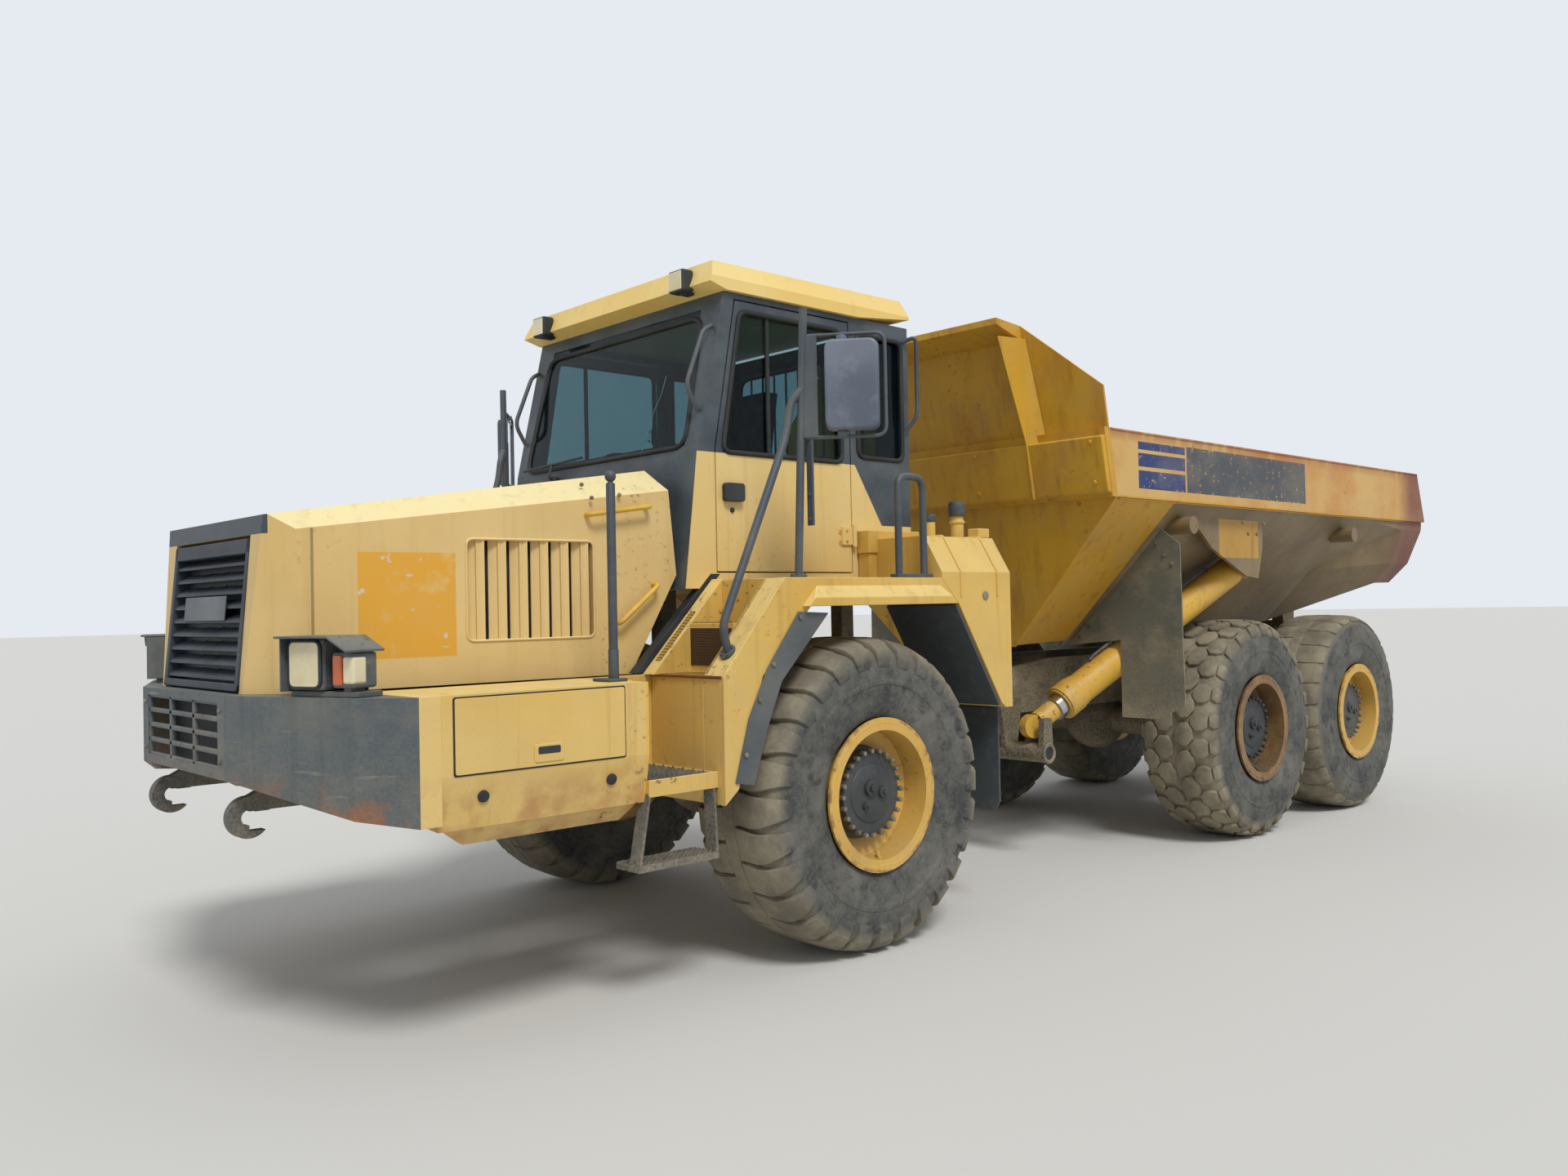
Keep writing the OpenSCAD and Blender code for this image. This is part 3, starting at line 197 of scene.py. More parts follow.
def tyreRubber(name, shoulder, dusty):
    # dark sidewalls, with pale dust on the tread from the shoulder's radius outwards
    s = Shade(name)
    grain = s.noise(45, 6, 0.65)
    cloud = s.noise(4.5, 7, 0.7)
    scuff = s.noise(9, 8, 0.75, (1, 0.4, 1), (4, 0, 3))
    radius = wheelRadius(s)
    band = radius.between(shoulder - 0.035, shoulder + 0.03)
    base = s.mix(tone(62, 64, 64), tone(112, 110, 102), cloud.between(0.36, 0.66))
    base = s.mix(base, tone(40, 44, 48), scuff.between(0.52, 0.66) * 0.8)
    pale = s.mix(tone(150, 141, 118), tone(116, 108, 92), cloud.between(0.4, 0.6))
    colour = s.mix(base, pale, (band * dusty + (grain.between(0.5, 0.7) * 0.25)))
    return s.finish(colour, 0.82 + grain * 0.12, grain + cloud * 0.5, 0.0025)


axles = {"front": 0.0, "mid": -4.130, "rear": -5.840}
wheelHeight = 0.800
wheelOut = 1.142


def wheelRadius(s):
    # distance from the nearest axle's line, in metres
    nearest = None
    for x in axles.values():
        along = s.x - (x + axleShift)
        up = s.z - wheelHeight
        square = along * along + up * up
        nearest = square if nearest is None else nearest.maths("MINIMUM", nearest, square)
    return nearest.maths("POWER", nearest, 0.5)


# marks that lie on one piece only, placed by its own coordinates
def hoodMarks(s, colour):
    # a plain patch of newer paint with torn spots, the seam behind the nose and its dark cap
    x = s.x - axleShift
    side = s.y > 0.3
    patch = s.inside(x, 1.985, 2.42) * s.inside(s.z, 1.575, 2.025) * side
    colour = s.mix(colour, tone(222, 164, 52), patch * s.noise(9, 5).between(0.2, 0.42))
    torn = s.noise(11, 7, 0.6, (1, 1, 1.4)).between(0.63, 0.65) * patch
    colour = s.mix(colour, tone(206, 202, 190), torn * 0.8)
    seam = s.inside(x, 2.60, 2.612) * s.inside(s.z, 1.47, 2.12)
    colour = s.mix(colour, tone(120, 96, 58), seam * 0.7)
    dark = (x > 2.745) * (s.z > 2.10)
    return s.mix(colour, tone(60, 68, 74), dark)


def cabMarks(s, colour):
    # dark window frames above the belt and two dark corner panels
    x = s.x - axleShift
    frames = s.z > 2.553
    frontCorner = ((x + (s.z - 1.86) * 0.16) > 0.745) * (s.y.size() < 0.856)
    rearCorner = (((x + 0.42) + (2.57 - s.z) * 0.64) < 0.0) * (s.z > 2.215)
    dark = (frames + frontCorner + rearCorner).between(0.0, 0.5)
    paint = s.mix(tone(52, 62, 70), tone(74, 84, 90), s.noise(3, 5).between(0.4, 0.62))
    return s.mix(colour, paint, dark)


def fairingMarks(s, colour):
    x = s.x - axleShift
    low = (1.0 - s.z.between(1.02, 1.13)) * s.noise(7, 6).between(0.4, 0.6)
    colour = s.mix(colour, tone(170, 104, 44), low * 0.6)
    return s.mix(colour, tone(226, 176, 50), (x < 1.445) * 0.8)


def bodyMarks(s, colour):
    # the side rail is paler and carries plain stripes and a dark panel; the underside is grey-brown, dust darkened
    # further by painted shade
    x = s.x - axleShift
    rail = s.inside(s.z, 2.42, 2.86) * (s.y.size() > 1.36)
    cloud = s.noise(1.8, 6, 0.6)
    streak = s.noise(1.0, 6, 0.6, (9, 9, 1.2), (2, 0, 0))
    faded = s.mix(tone(208, 168, 98), tone(196, 136, 66), cloud.between(0.4, 0.65))
    colour = s.mix(colour, faded, rail)
    bars = None
    for low, high in ((2.475, 2.592), (2.617, 2.704), (2.727, 2.778)):
        bar = s.inside(s.z, low, high)
        bars = bar if bars is None else bars + bar
    worn = s.noise(20, 8, 0.7).between(0.36, 0.42)
    livery = s.inside(x, -3.04, -2.45) * rail * bars
    colour = s.mix(colour, tone(28, 52, 106), livery * worn)
    panel = s.inside(x, -4.87, -3.06) * s.inside(s.z, 2.475, 2.785) * rail
    colour = s.mix(colour, tone(70, 74, 80), panel * worn)
    # the underside: dust with painted shade, left off the bracket's outer wall
    under = (x < -2.95) * (s.z < 2.40)
    mudAndShade = s.mix(tone(116, 106, 88), tone(86, 78, 64), cloud.between(0.36, 0.64))
    bracket = s.inside(x, -4.30, -3.70) * s.inside(s.y.size(), 1.306, 1.342) * (s.z > 2.05)
    colour = s.mix(colour, mudAndShade, (under * (1.0 - bracket * 0.75)) * (0.72 + streak * 0.25))
    edge = s.z.between(2.76, 2.86) * streak.between(0.36, 0.5)
    colour = s.mix(colour, tone(150, 74, 42), edge * 0.9)
    tail = (1.0 - x.between(-7.0, -6.70)) * (s.z > 1.0)
    colour = s.mix(colour, tone(112, 52, 40), tail * (0.75 + cloud * 0.2))
    hollow = (s.y.size() < 1.33) * (s.z > 2.42)
    return s.mix(colour, tone(134, 100, 66), hollow * 0.6)


def headboardMarks(s, colour):
    x = s.x - axleShift
    rubbed = s.noise(3.2, 6, 0.62, (1, 1, 0.5)).between(0.5, 0.62)
    colour = s.mix(colour, tone(176, 112, 48), rubbed * 0.35)
    inner = (x + (3.0 - s.z) * 0.19) < -2.13
    return s.mix(colour, tone(140, 108, 72), inner * 0.5)


def bumperMarks(s, colour):
    rub = s.noise(1.0, 6, 0.7, (3, 3, 34)).between(0.60, 0.66)
    colour = s.mix(colour, tone(140, 140, 132), rub * 0.5)
    low = (1.0 - s.z.between(1.0, 1.16)) * s.noise(6, 7).between(0.46, 0.58)
    colour = s.mix(colour, tone(140, 84, 50), low * 0.85)
    # the yellow end is lighter on faces that point up: painted sunlight
    paint = s.mix(tone(224, 190, 116), tone(240, 214, 140), s.facing().between(0.35, 0.8))
    paint = s.mix(paint, tone(176, 112, 48), low * 0.6)
    return s.mix(colour, paint, (s.x - axleShift) < 2.488)


def rimMarks(s, colour):
    radius = wheelRadius(s)
    edge = s.inside(radius, 0.375, 0.40) * s.noise(18, 6).between(0.45, 0.6)
    colour = s.mix(colour, tone(132, 78, 40), edge * 0.8)
    middle = 1.0 - radius.between(0.20, 0.29)
    return s.mix(colour, tone(82, 78, 68), middle * 0.75)


def rimOilMarks(s, colour):
    radius = wheelRadius(s)
    middle = 1.0 - radius.between(0.26, 0.36)
    colour = s.mix(colour, tone(30, 27, 24), middle * 0.92)
    edge = s.inside(radius, 0.36, 0.40) * s.noise(14, 6).between(0.4, 0.6)
    return s.mix(colour, tone(92, 54, 32), edge * 0.9)


# material, the colours (base, faded, top, grime), the amounts (streaks, dust, low dust, chips, roughness) and,
# for some, the marks, the size of the clouds and the height where the low dust ends; the top colour is painted
# sunlight on faces that point up, partly settled dust
paints = {
    "hood": ("hoodPaint", ((222, 192, 130), (214, 180, 112), (246, 230, 172), (176, 140, 80)),
             (0.35, 0.12, 0.1, 0.55, 0.46), hoodMarks),
    "cab": ("cabPaint", ((226, 190, 112), (232, 204, 138), (244, 224, 160), (176, 134, 64)),
            (0.4, 0.1, 0.0, 0.3, 0.42), cabMarks),
    "roof": ("roofPaint", ((236, 200, 112), (240, 212, 136), (250, 234, 176), (190, 150, 80)),
             (0.3, 0.1, 0.0, 0.25, 0.45)),
    "fender": ("fenderPaint", ((220, 182, 96), (208, 166, 74), (238, 214, 142), (150, 112, 50)),
               (0.5, 0.22, 0.35, 0.9, 0.5)),
    "fairing": ("fairingPaint", ((224, 190, 116), (216, 176, 84), (240, 214, 140), (150, 110, 52)),
                (0.5, 0.2, 0.3, 0.9, 0.5), fairingMarks),
    "body": ("bodyPaint", ((206, 158, 44), (196, 146, 48), (224, 186, 96), (128, 84, 28)),
             (0.6, 0.3, 0.2, 0.9, 0.5), bodyMarks),
    "headboard": ("headboardPaint", ((214, 166, 40), (202, 152, 44), (228, 186, 84), (140, 92, 30)),
                  (0.6, 0.2, 0.1, 0.8, 0.48), headboardMarks),
    "cylinderPaint": ("cylinderPaint", ((222, 176, 62), (208, 160, 56), (208, 160, 56), (110, 84, 44)),
                      (0.5, 0.35, 0.3, 0.9, 0.42)),
    "bumper": ("bumperPaint", ((70, 80, 86), (88, 96, 98), (110, 114, 110), (44, 50, 54)),
               (0.6, 0.25, 0.25, 1.0, 0.5), bumperMarks),
    "steel": ("darkSteel", ((56, 64, 70), (70, 76, 80), (92, 94, 90), (34, 36, 38)), (0.5, 0.35, 0.5, 0.8, 0.55)),
    "rail": ("railPaint", ((58, 66, 74), (74, 82, 88), (96, 100, 102), (38, 42, 46)), (0.4, 0.15, 0.1, 0.7, 0.45)),
    "guard": ("guardSteel", ((92, 94, 84), (108, 108, 96), (130, 124, 104), (64, 66, 60)),
              (0.5, 0.55, 0.6, 0.5, 0.62)),
    "chassis": ("chassisSteel", ((58, 58, 54), (74, 70, 62), (112, 104, 86), (30, 29, 27)),
                (0.5, 0.6, 0.7, 0.5, 0.7), None, 1.3, 2.2),
    "rimYellow": ("rimPaint", ((222, 176, 74), (208, 162, 66), (208, 162, 66), (128, 96, 48)),
                  (0.5, 0.35, 0.35, 1.0, 0.5), rimMarks, 4.0),
    "rimOily": ("rimOily", ((158, 110, 44), (104, 74, 42), (104, 74, 42), (40, 32, 26)),
                (0.7, 0.25, 0.25, 1.0, 0.42), rimOilMarks, 5.0)}

# material, colour, second colour, roughness, metal, grain size and, for some, the depth of the grain
plains = {
    "hub": ("greasyHub", (54, 58, 60), (84, 86, 84), 0.5, 0.2, 24),
    "bolt": ("wornBolt", (150, 144, 132), (104, 96, 84), 0.45, 0.6, 60),
    "yellowBolt": ("paintedBolt", (222, 180, 70), (190, 150, 60), 0.45, 0.0, 60),
    "rubber": ("rubberFlap", (74, 80, 84), (104, 106, 102), 0.75, 0.0, 14),
    "seal": ("rubberSeal", (24, 26, 28), (44, 44, 42), 0.6, 0.0, 40),
    "black": ("blackPlastic", (30, 34, 38), (52, 56, 58), 0.55, 0.0, 30),
    "grille": ("grillePaint", (38, 44, 52), (66, 72, 78), 0.5, 0.1, 22),
    "engine": ("engineBlock", (34, 34, 34), (58, 56, 52), 0.7, 0.2, 9),
    "chrome": ("cylinderChrome", (196, 198, 200), (176, 176, 174), 0.12, 1.0, 20, 0.0001),
    "seat": ("seatCloth", (40, 44, 52), (60, 64, 72), 0.9, 0.0, 160, 0.001),
    "mirror": ("mirrorGlass", (220, 224, 228), (206, 210, 214), 0.04, 1.0, 4, 0.0),
    "mirrorShell": ("mirrorShell", (84, 92, 106), (134, 140, 152), 0.42, 0.0, 9),
    "crack": ("glassCrack", (226, 232, 232), (200, 210, 210), 0.3, 0.0, 40),
    "barePlate": ("barePlate", (112, 116, 118), (84, 88, 92), 0.4, 0.7, 20),
    "edgeRust": ("rustyEdge", (128, 78, 44), (88, 52, 32), 0.7, 0.1, 40)}
lenses = {
    "lens": ("lampLens", (232, 222, 186), (210, 196, 150), 0.1, 0.0, 30, 0.0004),
    "redLens": ("redLens", (150, 26, 22), (120, 20, 18), 0.15, 0.0, 30, 0.0004),
    "amber": ("amberLens", (206, 98, 30), (170, 72, 22), 0.15, 0.0, 30, 0.0004)}
tyreShades = {"tyreFront": (0.715, 0.85), "tyreMid": (0.705, 1.0), "tyreRear": (0.740, 0.95)}

finishes = {key: wornPaint(*look) for key, look in paints.items()}
finishes.update({key: plainFinish(*look) for key, look in plains.items()})
finishes.update({key: plainFinish(*look, Coat_Weight=0.8) for key, look in lenses.items()})
finishes.update({key: tyreRubber(key, *look) for key, look in tyreShades.items()})
finishes["glass"] = clearGlass("tintedGlass", tone(132, 162, 168), 1.2)
finishes["tread"] = holedSheet("treadSheet", tone(214, 172, 76), tone(96, 70, 36), 0.026, 0.0055, (0, 1))
finishes["mesh"] = holedSheet("meshSheet", tone(188, 140, 70), tone(52, 38, 24), 0.017, 0.0052, (1, 2))
print("finishes made:", len(finishes))

finishOf = {
    "chassis": "front_frame front_axle hitch rear_frame rear_axles bogie_beams hoist_feet tow_jaw",
    "steel": "tow_hooks steps lamps", "black": "cab_controls", "rail": "rails_and_mirrors", "engine": "engine_block",
    "bumper": "bumper", "hood": "hood", "grille": "grille", "fairing": "side_fairings", "fender": "fenders side_tanks",
    "rubber": "rubber_flaps", "cab": "cab_shell door_left door_right", "roof": "cab_roof", "seat": "cab_seat",
    "glass": "cab_glass door_glass_left door_glass_right", "body": "dump_body", "headboard": "headboard",
    "guard": "body_guards", "rimOily": "rim_mid_left rim_mid_right",
    "rimYellow": "rim_front_left rim_front_right rim_rear_left rim_rear_right",
    "chrome": "steer_rod_left steer_rod_right hoist_stage_left hoist_stage_right",
    "cylinderPaint": "steer_tube_left steer_tube_right hoist_tube_left hoist_tube_right hoist_rod_left hoist_rod_right",
    "tyreFront": "tyre_front_left tyre_front_right", "tyreMid": "tyre_mid_left tyre_mid_right",
    "tyreRear": "tyre_rear_left tyre_rear_right"}
for finish, names in finishOf.items():
    for name in names.split():
        nodes[name].data.materials.clear()
        nodes[name].data.materials.append(finishes[finish])


def deselect():
    if bpy.context.object and bpy.context.object.mode != "OBJECT":
        bpy.ops.object.mode_set(mode="OBJECT")
    bpy.ops.object.select_all(action="DESELECT")


def only(piece):
    deselect()
    piece.select_set(True)
    bpy.context.view_layer.objects.active = piece


def settled(piece, name):  # the object back at the origin, its place kept in its mesh
    only(piece)
    piece.name = piece.data.name = name
    bpy.ops.object.transform_apply(location=True, rotation=True, scale=True)
    return piece


def bevelled(piece, width, segments=2, angle=35):
    only(piece)
    edge = piece.modifiers.new("edge", "BEVEL")
    edge.width, edge.segments, edge.limit_method = width, segments, "ANGLE"
    edge.angle_limit = math.radians(angle)
    bpy.ops.object.modifier_apply(modifier=edge.name)
    return piece


def outward(piece):
    only(piece)
    bpy.ops.object.mode_set(mode="EDIT")
    bpy.ops.mesh.select_all(action="SELECT")
    bpy.ops.mesh.remove_doubles(threshold=0.00001)
    bpy.ops.mesh.normals_make_consistent(inside=False)
    bpy.ops.object.mode_set(mode="OBJECT")
    return piece


def smooth(piece, angle=35):
    only(piece)
    bpy.ops.object.shade_smooth_by_angle(angle=math.radians(angle))
    return piece


def linked(piece):
    bpy.context.scene.collection.objects.link(piece)
    return piece


def shaped(name, points, edges, faces):
    mesh = bpy.data.meshes.new(name)
    mesh.from_pydata(points, edges, faces)
    return linked(bpy.data.objects.new(name, mesh))


def block(name, low, high, edge=0.004):
    low, high = Vector(low), Vector(high)
    deselect()
    bpy.ops.mesh.primitive_cube_add(size=1, location=(low + high) / 2)
    piece = bpy.context.object
    piece.scale = high - low
    settled(piece, name)
    return bevelled(piece, edge) if edge else piece


def rod(name, start, end, radius, sides=20, edge=0.0):
    start, end = Vector(start), Vector(end)
    way = end - start
    deselect()
    bpy.ops.mesh.primitive_cylinder_add(vertices=sides, radius=radius, depth=way.length, location=(start + end) / 2,
                                        rotation=way.to_track_quat("Z", "Y").to_euler())
    piece = settled(bpy.context.object, name)
    if edge:
        bevelled(piece, edge)
    return smooth(piece)


def softRoute(points, bend, closed):  # a route whose corners are rounded
    points = [Vector(p) for p in points]
    count = len(points)
    route = []
    for k, corner in enumerate(points):
        if not closed and k in (0, count - 1):
            route.append(corner)
            continue
        before, after = points[k - 1], points[(k + 1) % count]
        cut = min(bend, (before - corner).length * 0.45, (after - corner).length * 0.45)
        a = corner + (before - corner).normalized() * cut
        b = corner + (after - corner).normalized() * cut
        route += [a * (1 - t) ** 2 + corner * 2 * t * (1 - t) + b * t ** 2 for t in (n / 6 for n in range(7))]
    return route


def pipe(name, points, radius, bend=0.06, closed=False):
    route = softRoute(points, bend, closed)
    curve = bpy.data.curves.new(name, "CURVE")
    curve.dimensions = "3D"
    spline = curve.splines.new("POLY")
    spline.points.add(len(route) - 1)
    for point, place in zip(spline.points, route):
        point.co = (*place, 1)
    spline.use_cyclic_u = closed
    curve.bevel_depth, curve.bevel_resolution, curve.use_fill_caps = radius, 4, not closed
    only(linked(bpy.data.objects.new(name, curve)))
    bpy.ops.object.convert(target="MESH")
    return smooth(settled(bpy.context.object, name))


def roundedCorners(corners, bend):  # a flat outline of pairs with soft corners
    return [(point.x, point.y) for point in softRoute([(a, b, 0) for a, b in corners], bend, True)]


def cornersOf(a0, a1, b0, b1, grow=0.0):  # a rectangle's corners as pairs, moved out by a margin
    return [(a0 - grow, b0 - grow), (a1 + grow, b0 - grow), (a1 + grow, b1 + grow), (a0 - grow, b1 + grow)]


def spread(low, high, count):  # evenly spaced values, both ends included
    return [low + (high - low) * k / (count - 1) for k in range(count)]


def boltHeads(name, places, out, radius, height):  # six-sided heads that stand out one way
    out = Vector(out).normalized()
    return joined(name, [rod("head", Vector(p) - out * 0.002, Vector(p) + out * height, radius, 6, 0.001)
                         for p in places])


def sidePlate(name, outline, near, far, edge=0.003):
    # an outline in side view between two distances from the middle
    return plate(name, [at(x, near, z) for x, z in outline], (0, far - near, 0), edge)


def crossPlate(name, outline, rear, front, edge=0.003):
    # an outline in front view between two places along the truck
    return plate(name, [at(rear, y, z) for y, z in outline], (front - rear, 0, 0), edge)


def plate(name, corners, depth, edge=0.003):
    # a flat outline drawn out along one direction
    piece = shaped(name, [Vector(c) for c in corners], [], [range(len(corners))])
    only(piece)
    bpy.ops.object.mode_set(mode="EDIT")
    bpy.ops.mesh.select_all(action="SELECT")
    bpy.ops.mesh.extrude_region_move(TRANSFORM_OT_translate={"value": Vector(depth)})
    bpy.ops.object.mode_set(mode="OBJECT")
    outward(piece)
    return bevelled(piece, edge) if edge else piece


def spun(name, outline, centre, steps=96):
    # an outline of (distance along Y, radius) turned about a line along Y
    count = len(outline)
    piece = shaped(name, [centre + Vector((r, y, 0)) for y, r in outline],
                   [(k, (k + 1) % count) for k in range(count)], [])
    only(piece)
    bpy.ops.object.mode_set(mode="EDIT")
    bpy.ops.mesh.select_all(action="SELECT")
    bpy.ops.mesh.spin(steps=steps, angle=2 * math.pi, center=centre, axis=(0, 1, 0))
    bpy.ops.object.mode_set(mode="OBJECT")
    return smooth(outward(piece), 28)


def joined(name, pieces):
    deselect()
    for piece in pieces:
        piece.select_set(True)
    bpy.context.view_layer.objects.active = pieces[0]
    if len(pieces) > 1:
        bpy.ops.object.join()
    piece = bpy.context.object
    piece.name = piece.data.name = name
    return piece


def copied(piece, name, matrix):
    twin = piece.copy()
    twin.data = piece.data.copy()
    twin.name = twin.data.name = name
    linked(twin)
    twin.data.transform(matrix)
    if matrix.determinant() < 0:
        twin.data.flip_normals()
    return twin


acrossY = Matrix.Diagonal((1, -1, 1, 1))


def dress(piece, body, finish):
    piece.data.materials.clear()
    piece.data.materials.append(finishes[finish])
    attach(piece, body)
    return piece


def bothSides(piece, body, finish):
    # the left piece and its mirror image, on one body or on one for each side
    twin = copied(piece, piece.name + "Right", acrossY)
    bodies = (body, body) if isinstance(body, str) else body
    dress(piece, bodies[0], finish)
    dress(twin, bodies[1], finish)


def bothJoined(name, parts):  # the left parts and their mirror image as one piece
    left = joined(name + "Left", parts)
    return joined(name, [left, copied(left, name + "Right", acrossY)])


# rows of lugs: how far round they stand in pitches, then stations outwards from the middle,
# each with its distance, its slant, its half width as a share of the pitch and its share of the depth
tyre = {
    "steps": 120,
    "front": {"count": 28, "depth": 0.030, "rows": [  # broad bars with a curved slot between
        (0.0, [(0.040, 0.010, 0.485, 1.0), (0.10, 0.004, 0.475, 1.0), (0.16, -0.006, 0.455, 1.0),
               (0.205, -0.004, 0.430, 1.0), (0.245, 0.004, 0.385, 1.0), (0.285, 0.010, 0.34, 0.9),
               (0.325, 0.012, 0.32, 0.55), (0.360, 0.012, 0.30, 0.12)])]},
    "mid": {"count": 25, "depth": 0.024, "rows": [  # six-sided blocks, the outer ones half a pitch on
        (0.0, [(0.012, 0.0, 0.20, 1.0), (0.050, 0.006, 0.43, 1.0), (0.105, 0.010, 0.43, 1.0),
               (0.145, 0.010, 0.19, 1.0)]),
        (0.5, [(0.128, 0.006, 0.14, 1.0), (0.162, 0.008, 0.37, 1.0), (0.212, 0.010, 0.37, 1.0),
               (0.242, 0.010, 0.25, 1.0)]),
        (0.5, [(0.252, 0.012, 0.22, 0.8), (0.285, 0.012, 0.30, 0.8), (0.330, 0.012, 0.26, 0.3)])]},
    "rear": {"count": 28, "depth": 0.010, "rows": [  # worn bars with only their outer slots left
        (0.0, [(0.030, 0.004, 0.495, 1.0), (0.14, 0.0, 0.485, 1.0), (0.21, 0.004, 0.465, 1.0),
               (0.250, 0.008, 0.44, 1.0), (0.275, 0.010, 0.40, 0.6)])]}}

# the outside of the casing under the tread, from the crown over the shoulder to the bead
crownLine = [(0.0, 0.770), (0.10, 0.769), (0.17, 0.766), (0.215, 0.757), (0.252, 0.738), (0.272, 0.716),
             (0.282, 0.690), (0.288, 0.655), (0.292, 0.610)]
wallLine = [(0.2925, 0.585), (0.2965, 0.578), (0.2965, 0.560), (0.292, 0.553), (0.290, 0.520), (0.284, 0.470),
            (0.274, 0.425), (0.262, 0.402), (0.258, 0.392)]


def alongCrown(distance):
    # the place and outward direction on the crown line at a distance from the middle
    left = distance
    for (y0, r0), (y1, r1) in zip(crownLine, crownLine[1:]):
        length = math.hypot(y1 - y0, r1 - r0)
        if left <= length or (y1, r1) == crownLine[-1]:
            t = left / length
            place = (y0 + (y1 - y0) * t, r0 + (r1 - r0) * t)
            return place, (-(r1 - r0) / length, (y1 - y0) / length)
        left -= length


treadRadius = 0.79


def lugMesh(stations, height, centre, angle, side):
    # one lug as rows across the tread: distance from the middle, slant and half of the width, in metres
    verts, faces = [], []
    for distance, slant, half, rise in stations:
        (y, r), (ny, nr) = alongCrown(distance)
        for level, share in ((-0.006, 1.0), (height * rise, 0.93)):
            yy, rr = y + ny * level, r + nr * level
            for edge in (-1, 1):
                a = angle + (slant + edge * half * share) / treadRadius
                verts.append(centre + Vector((math.cos(a) * rr, side * yy, math.sin(a) * rr)))
    rows = len(stations)
    for k in range(rows - 1):
        a, b = 4 * k, 4 * k + 4
        faces += [(a, a + 1, b + 1, b), (a + 2, b + 2, b + 3, a + 3),
                  (a, b, b + 2, a + 2), (a + 1, a + 3, b + 3, b + 1)]
    faces += [(0, 2, 3, 1), (4 * rows - 4, 4 * rows - 3, 4 * rows - 1, 4 * rows - 2)]
    return verts, faces


def treadPieces(kind, centre):
    look = tyre[kind]
    pitch = 2 * math.pi / look["count"]
    width = pitch * treadRadius
    verts, faces = [], []
    for k in range(look["count"]):
        for side in (-1, 1):
            angle = (k + (0.5 if side < 0 else 0.0)) * pitch
            for shift, row in look["rows"]:
                stations = [(distance, slant, width * share, rise) for distance, slant, share, rise in row]
                more, cells = lugMesh(stations, look["depth"], centre, angle + pitch * shift, side)
                faces += [tuple(len(verts) + k for k in cell) for cell in cells]
                verts += more
    tread = outward(shaped(kind + "Tread", verts, [], faces))
    return smooth(bevelled(tread, 0.006, 2, 30), 40)


def makeTyre(kind):
    centre = at(axles[kind], wheelOut, wheelHeight)
    rise = tyre["front"]["depth"] - tyre[kind]["depth"]  # the worn tread's lugs stand on a raised crown
    outer = [(y, r + (rise if k < 4 else rise * 0.5 if k < 6 else 0.0)) for k, (y, r) in enumerate(crownLine)]
    if kind != "mid":  # a rib round the middle of the crown
        outer[:1] = [(0.0, 0.799), (0.036, 0.799), (0.046, 0.770 + rise)]
    outer += wallLine
    outline = outer + [(0.20, 0.392), (-0.20, 0.392)] + [(-y, r) for y, r in reversed(outer[1:])]
    casing = spun(kind + "Casing", outline, centre, tyre["steps"])
    tread = treadPieces(kind, centre)
    for vert in tread.data.vertices:
        out = Vector((vert.co.x - centre.x, 0, vert.co.z - centre.z))
        vert.co += out.normalized() * rise
    whole = joined(f"tyre{kind.title()}Left", [casing, tread])
    twin = copied(whole, f"tyre{kind.title()}Right", acrossY)
    for piece, side in ((whole, "left"), (twin, "right")):
        dress(piece, f"wheel_{kind}_{side}", "tyre" + kind.title())
        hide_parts(f"tyre_{kind}_{side}")


for kind in axles:
    makeTyre(kind)
print("tyres made")


# wheel centres: bolts, plugs and the lock ring
# outlines as (distance outwards, radius); spans run outwards, places lie ahead of the axle and above it
wheelCentre = {
    "flange": [(0.095, 0.10), (0.095, 0.236), (0.108, 0.240), (0.120, 0.236), (0.122, 0.216), (0.184, 0.210),
               (0.195, 0.204), (0.195, 0.152), (0.200, 0.148), (0.207, 0.120), (0.207, 0.004)],
    "plugs": (((0.02, 0.03), 0.042), ((-0.07, 0.0), 0.030), ((0.06, -0.06), 0.018)),
    "plugSpan": (0.19, 0.226), "plugHeadSpan": (0.224, 0.238),
    "bolts": 24, "boltRing": 0.215, "boltRadius": 0.013, "boltSpan": (0.186, 0.216),
    "ring": [(0.268, 0.352), (0.268, 0.372), (0.281, 0.376), (0.287, 0.368), (0.285, 0.352), (0.276, 0.346)],
    "clamp": ((-0.05, 0.262, -0.385), (0.05, 0.292, -0.345)), "valve": ((-0.03, 0.20, -0.30), (0.02, 0.27, -0.335))}


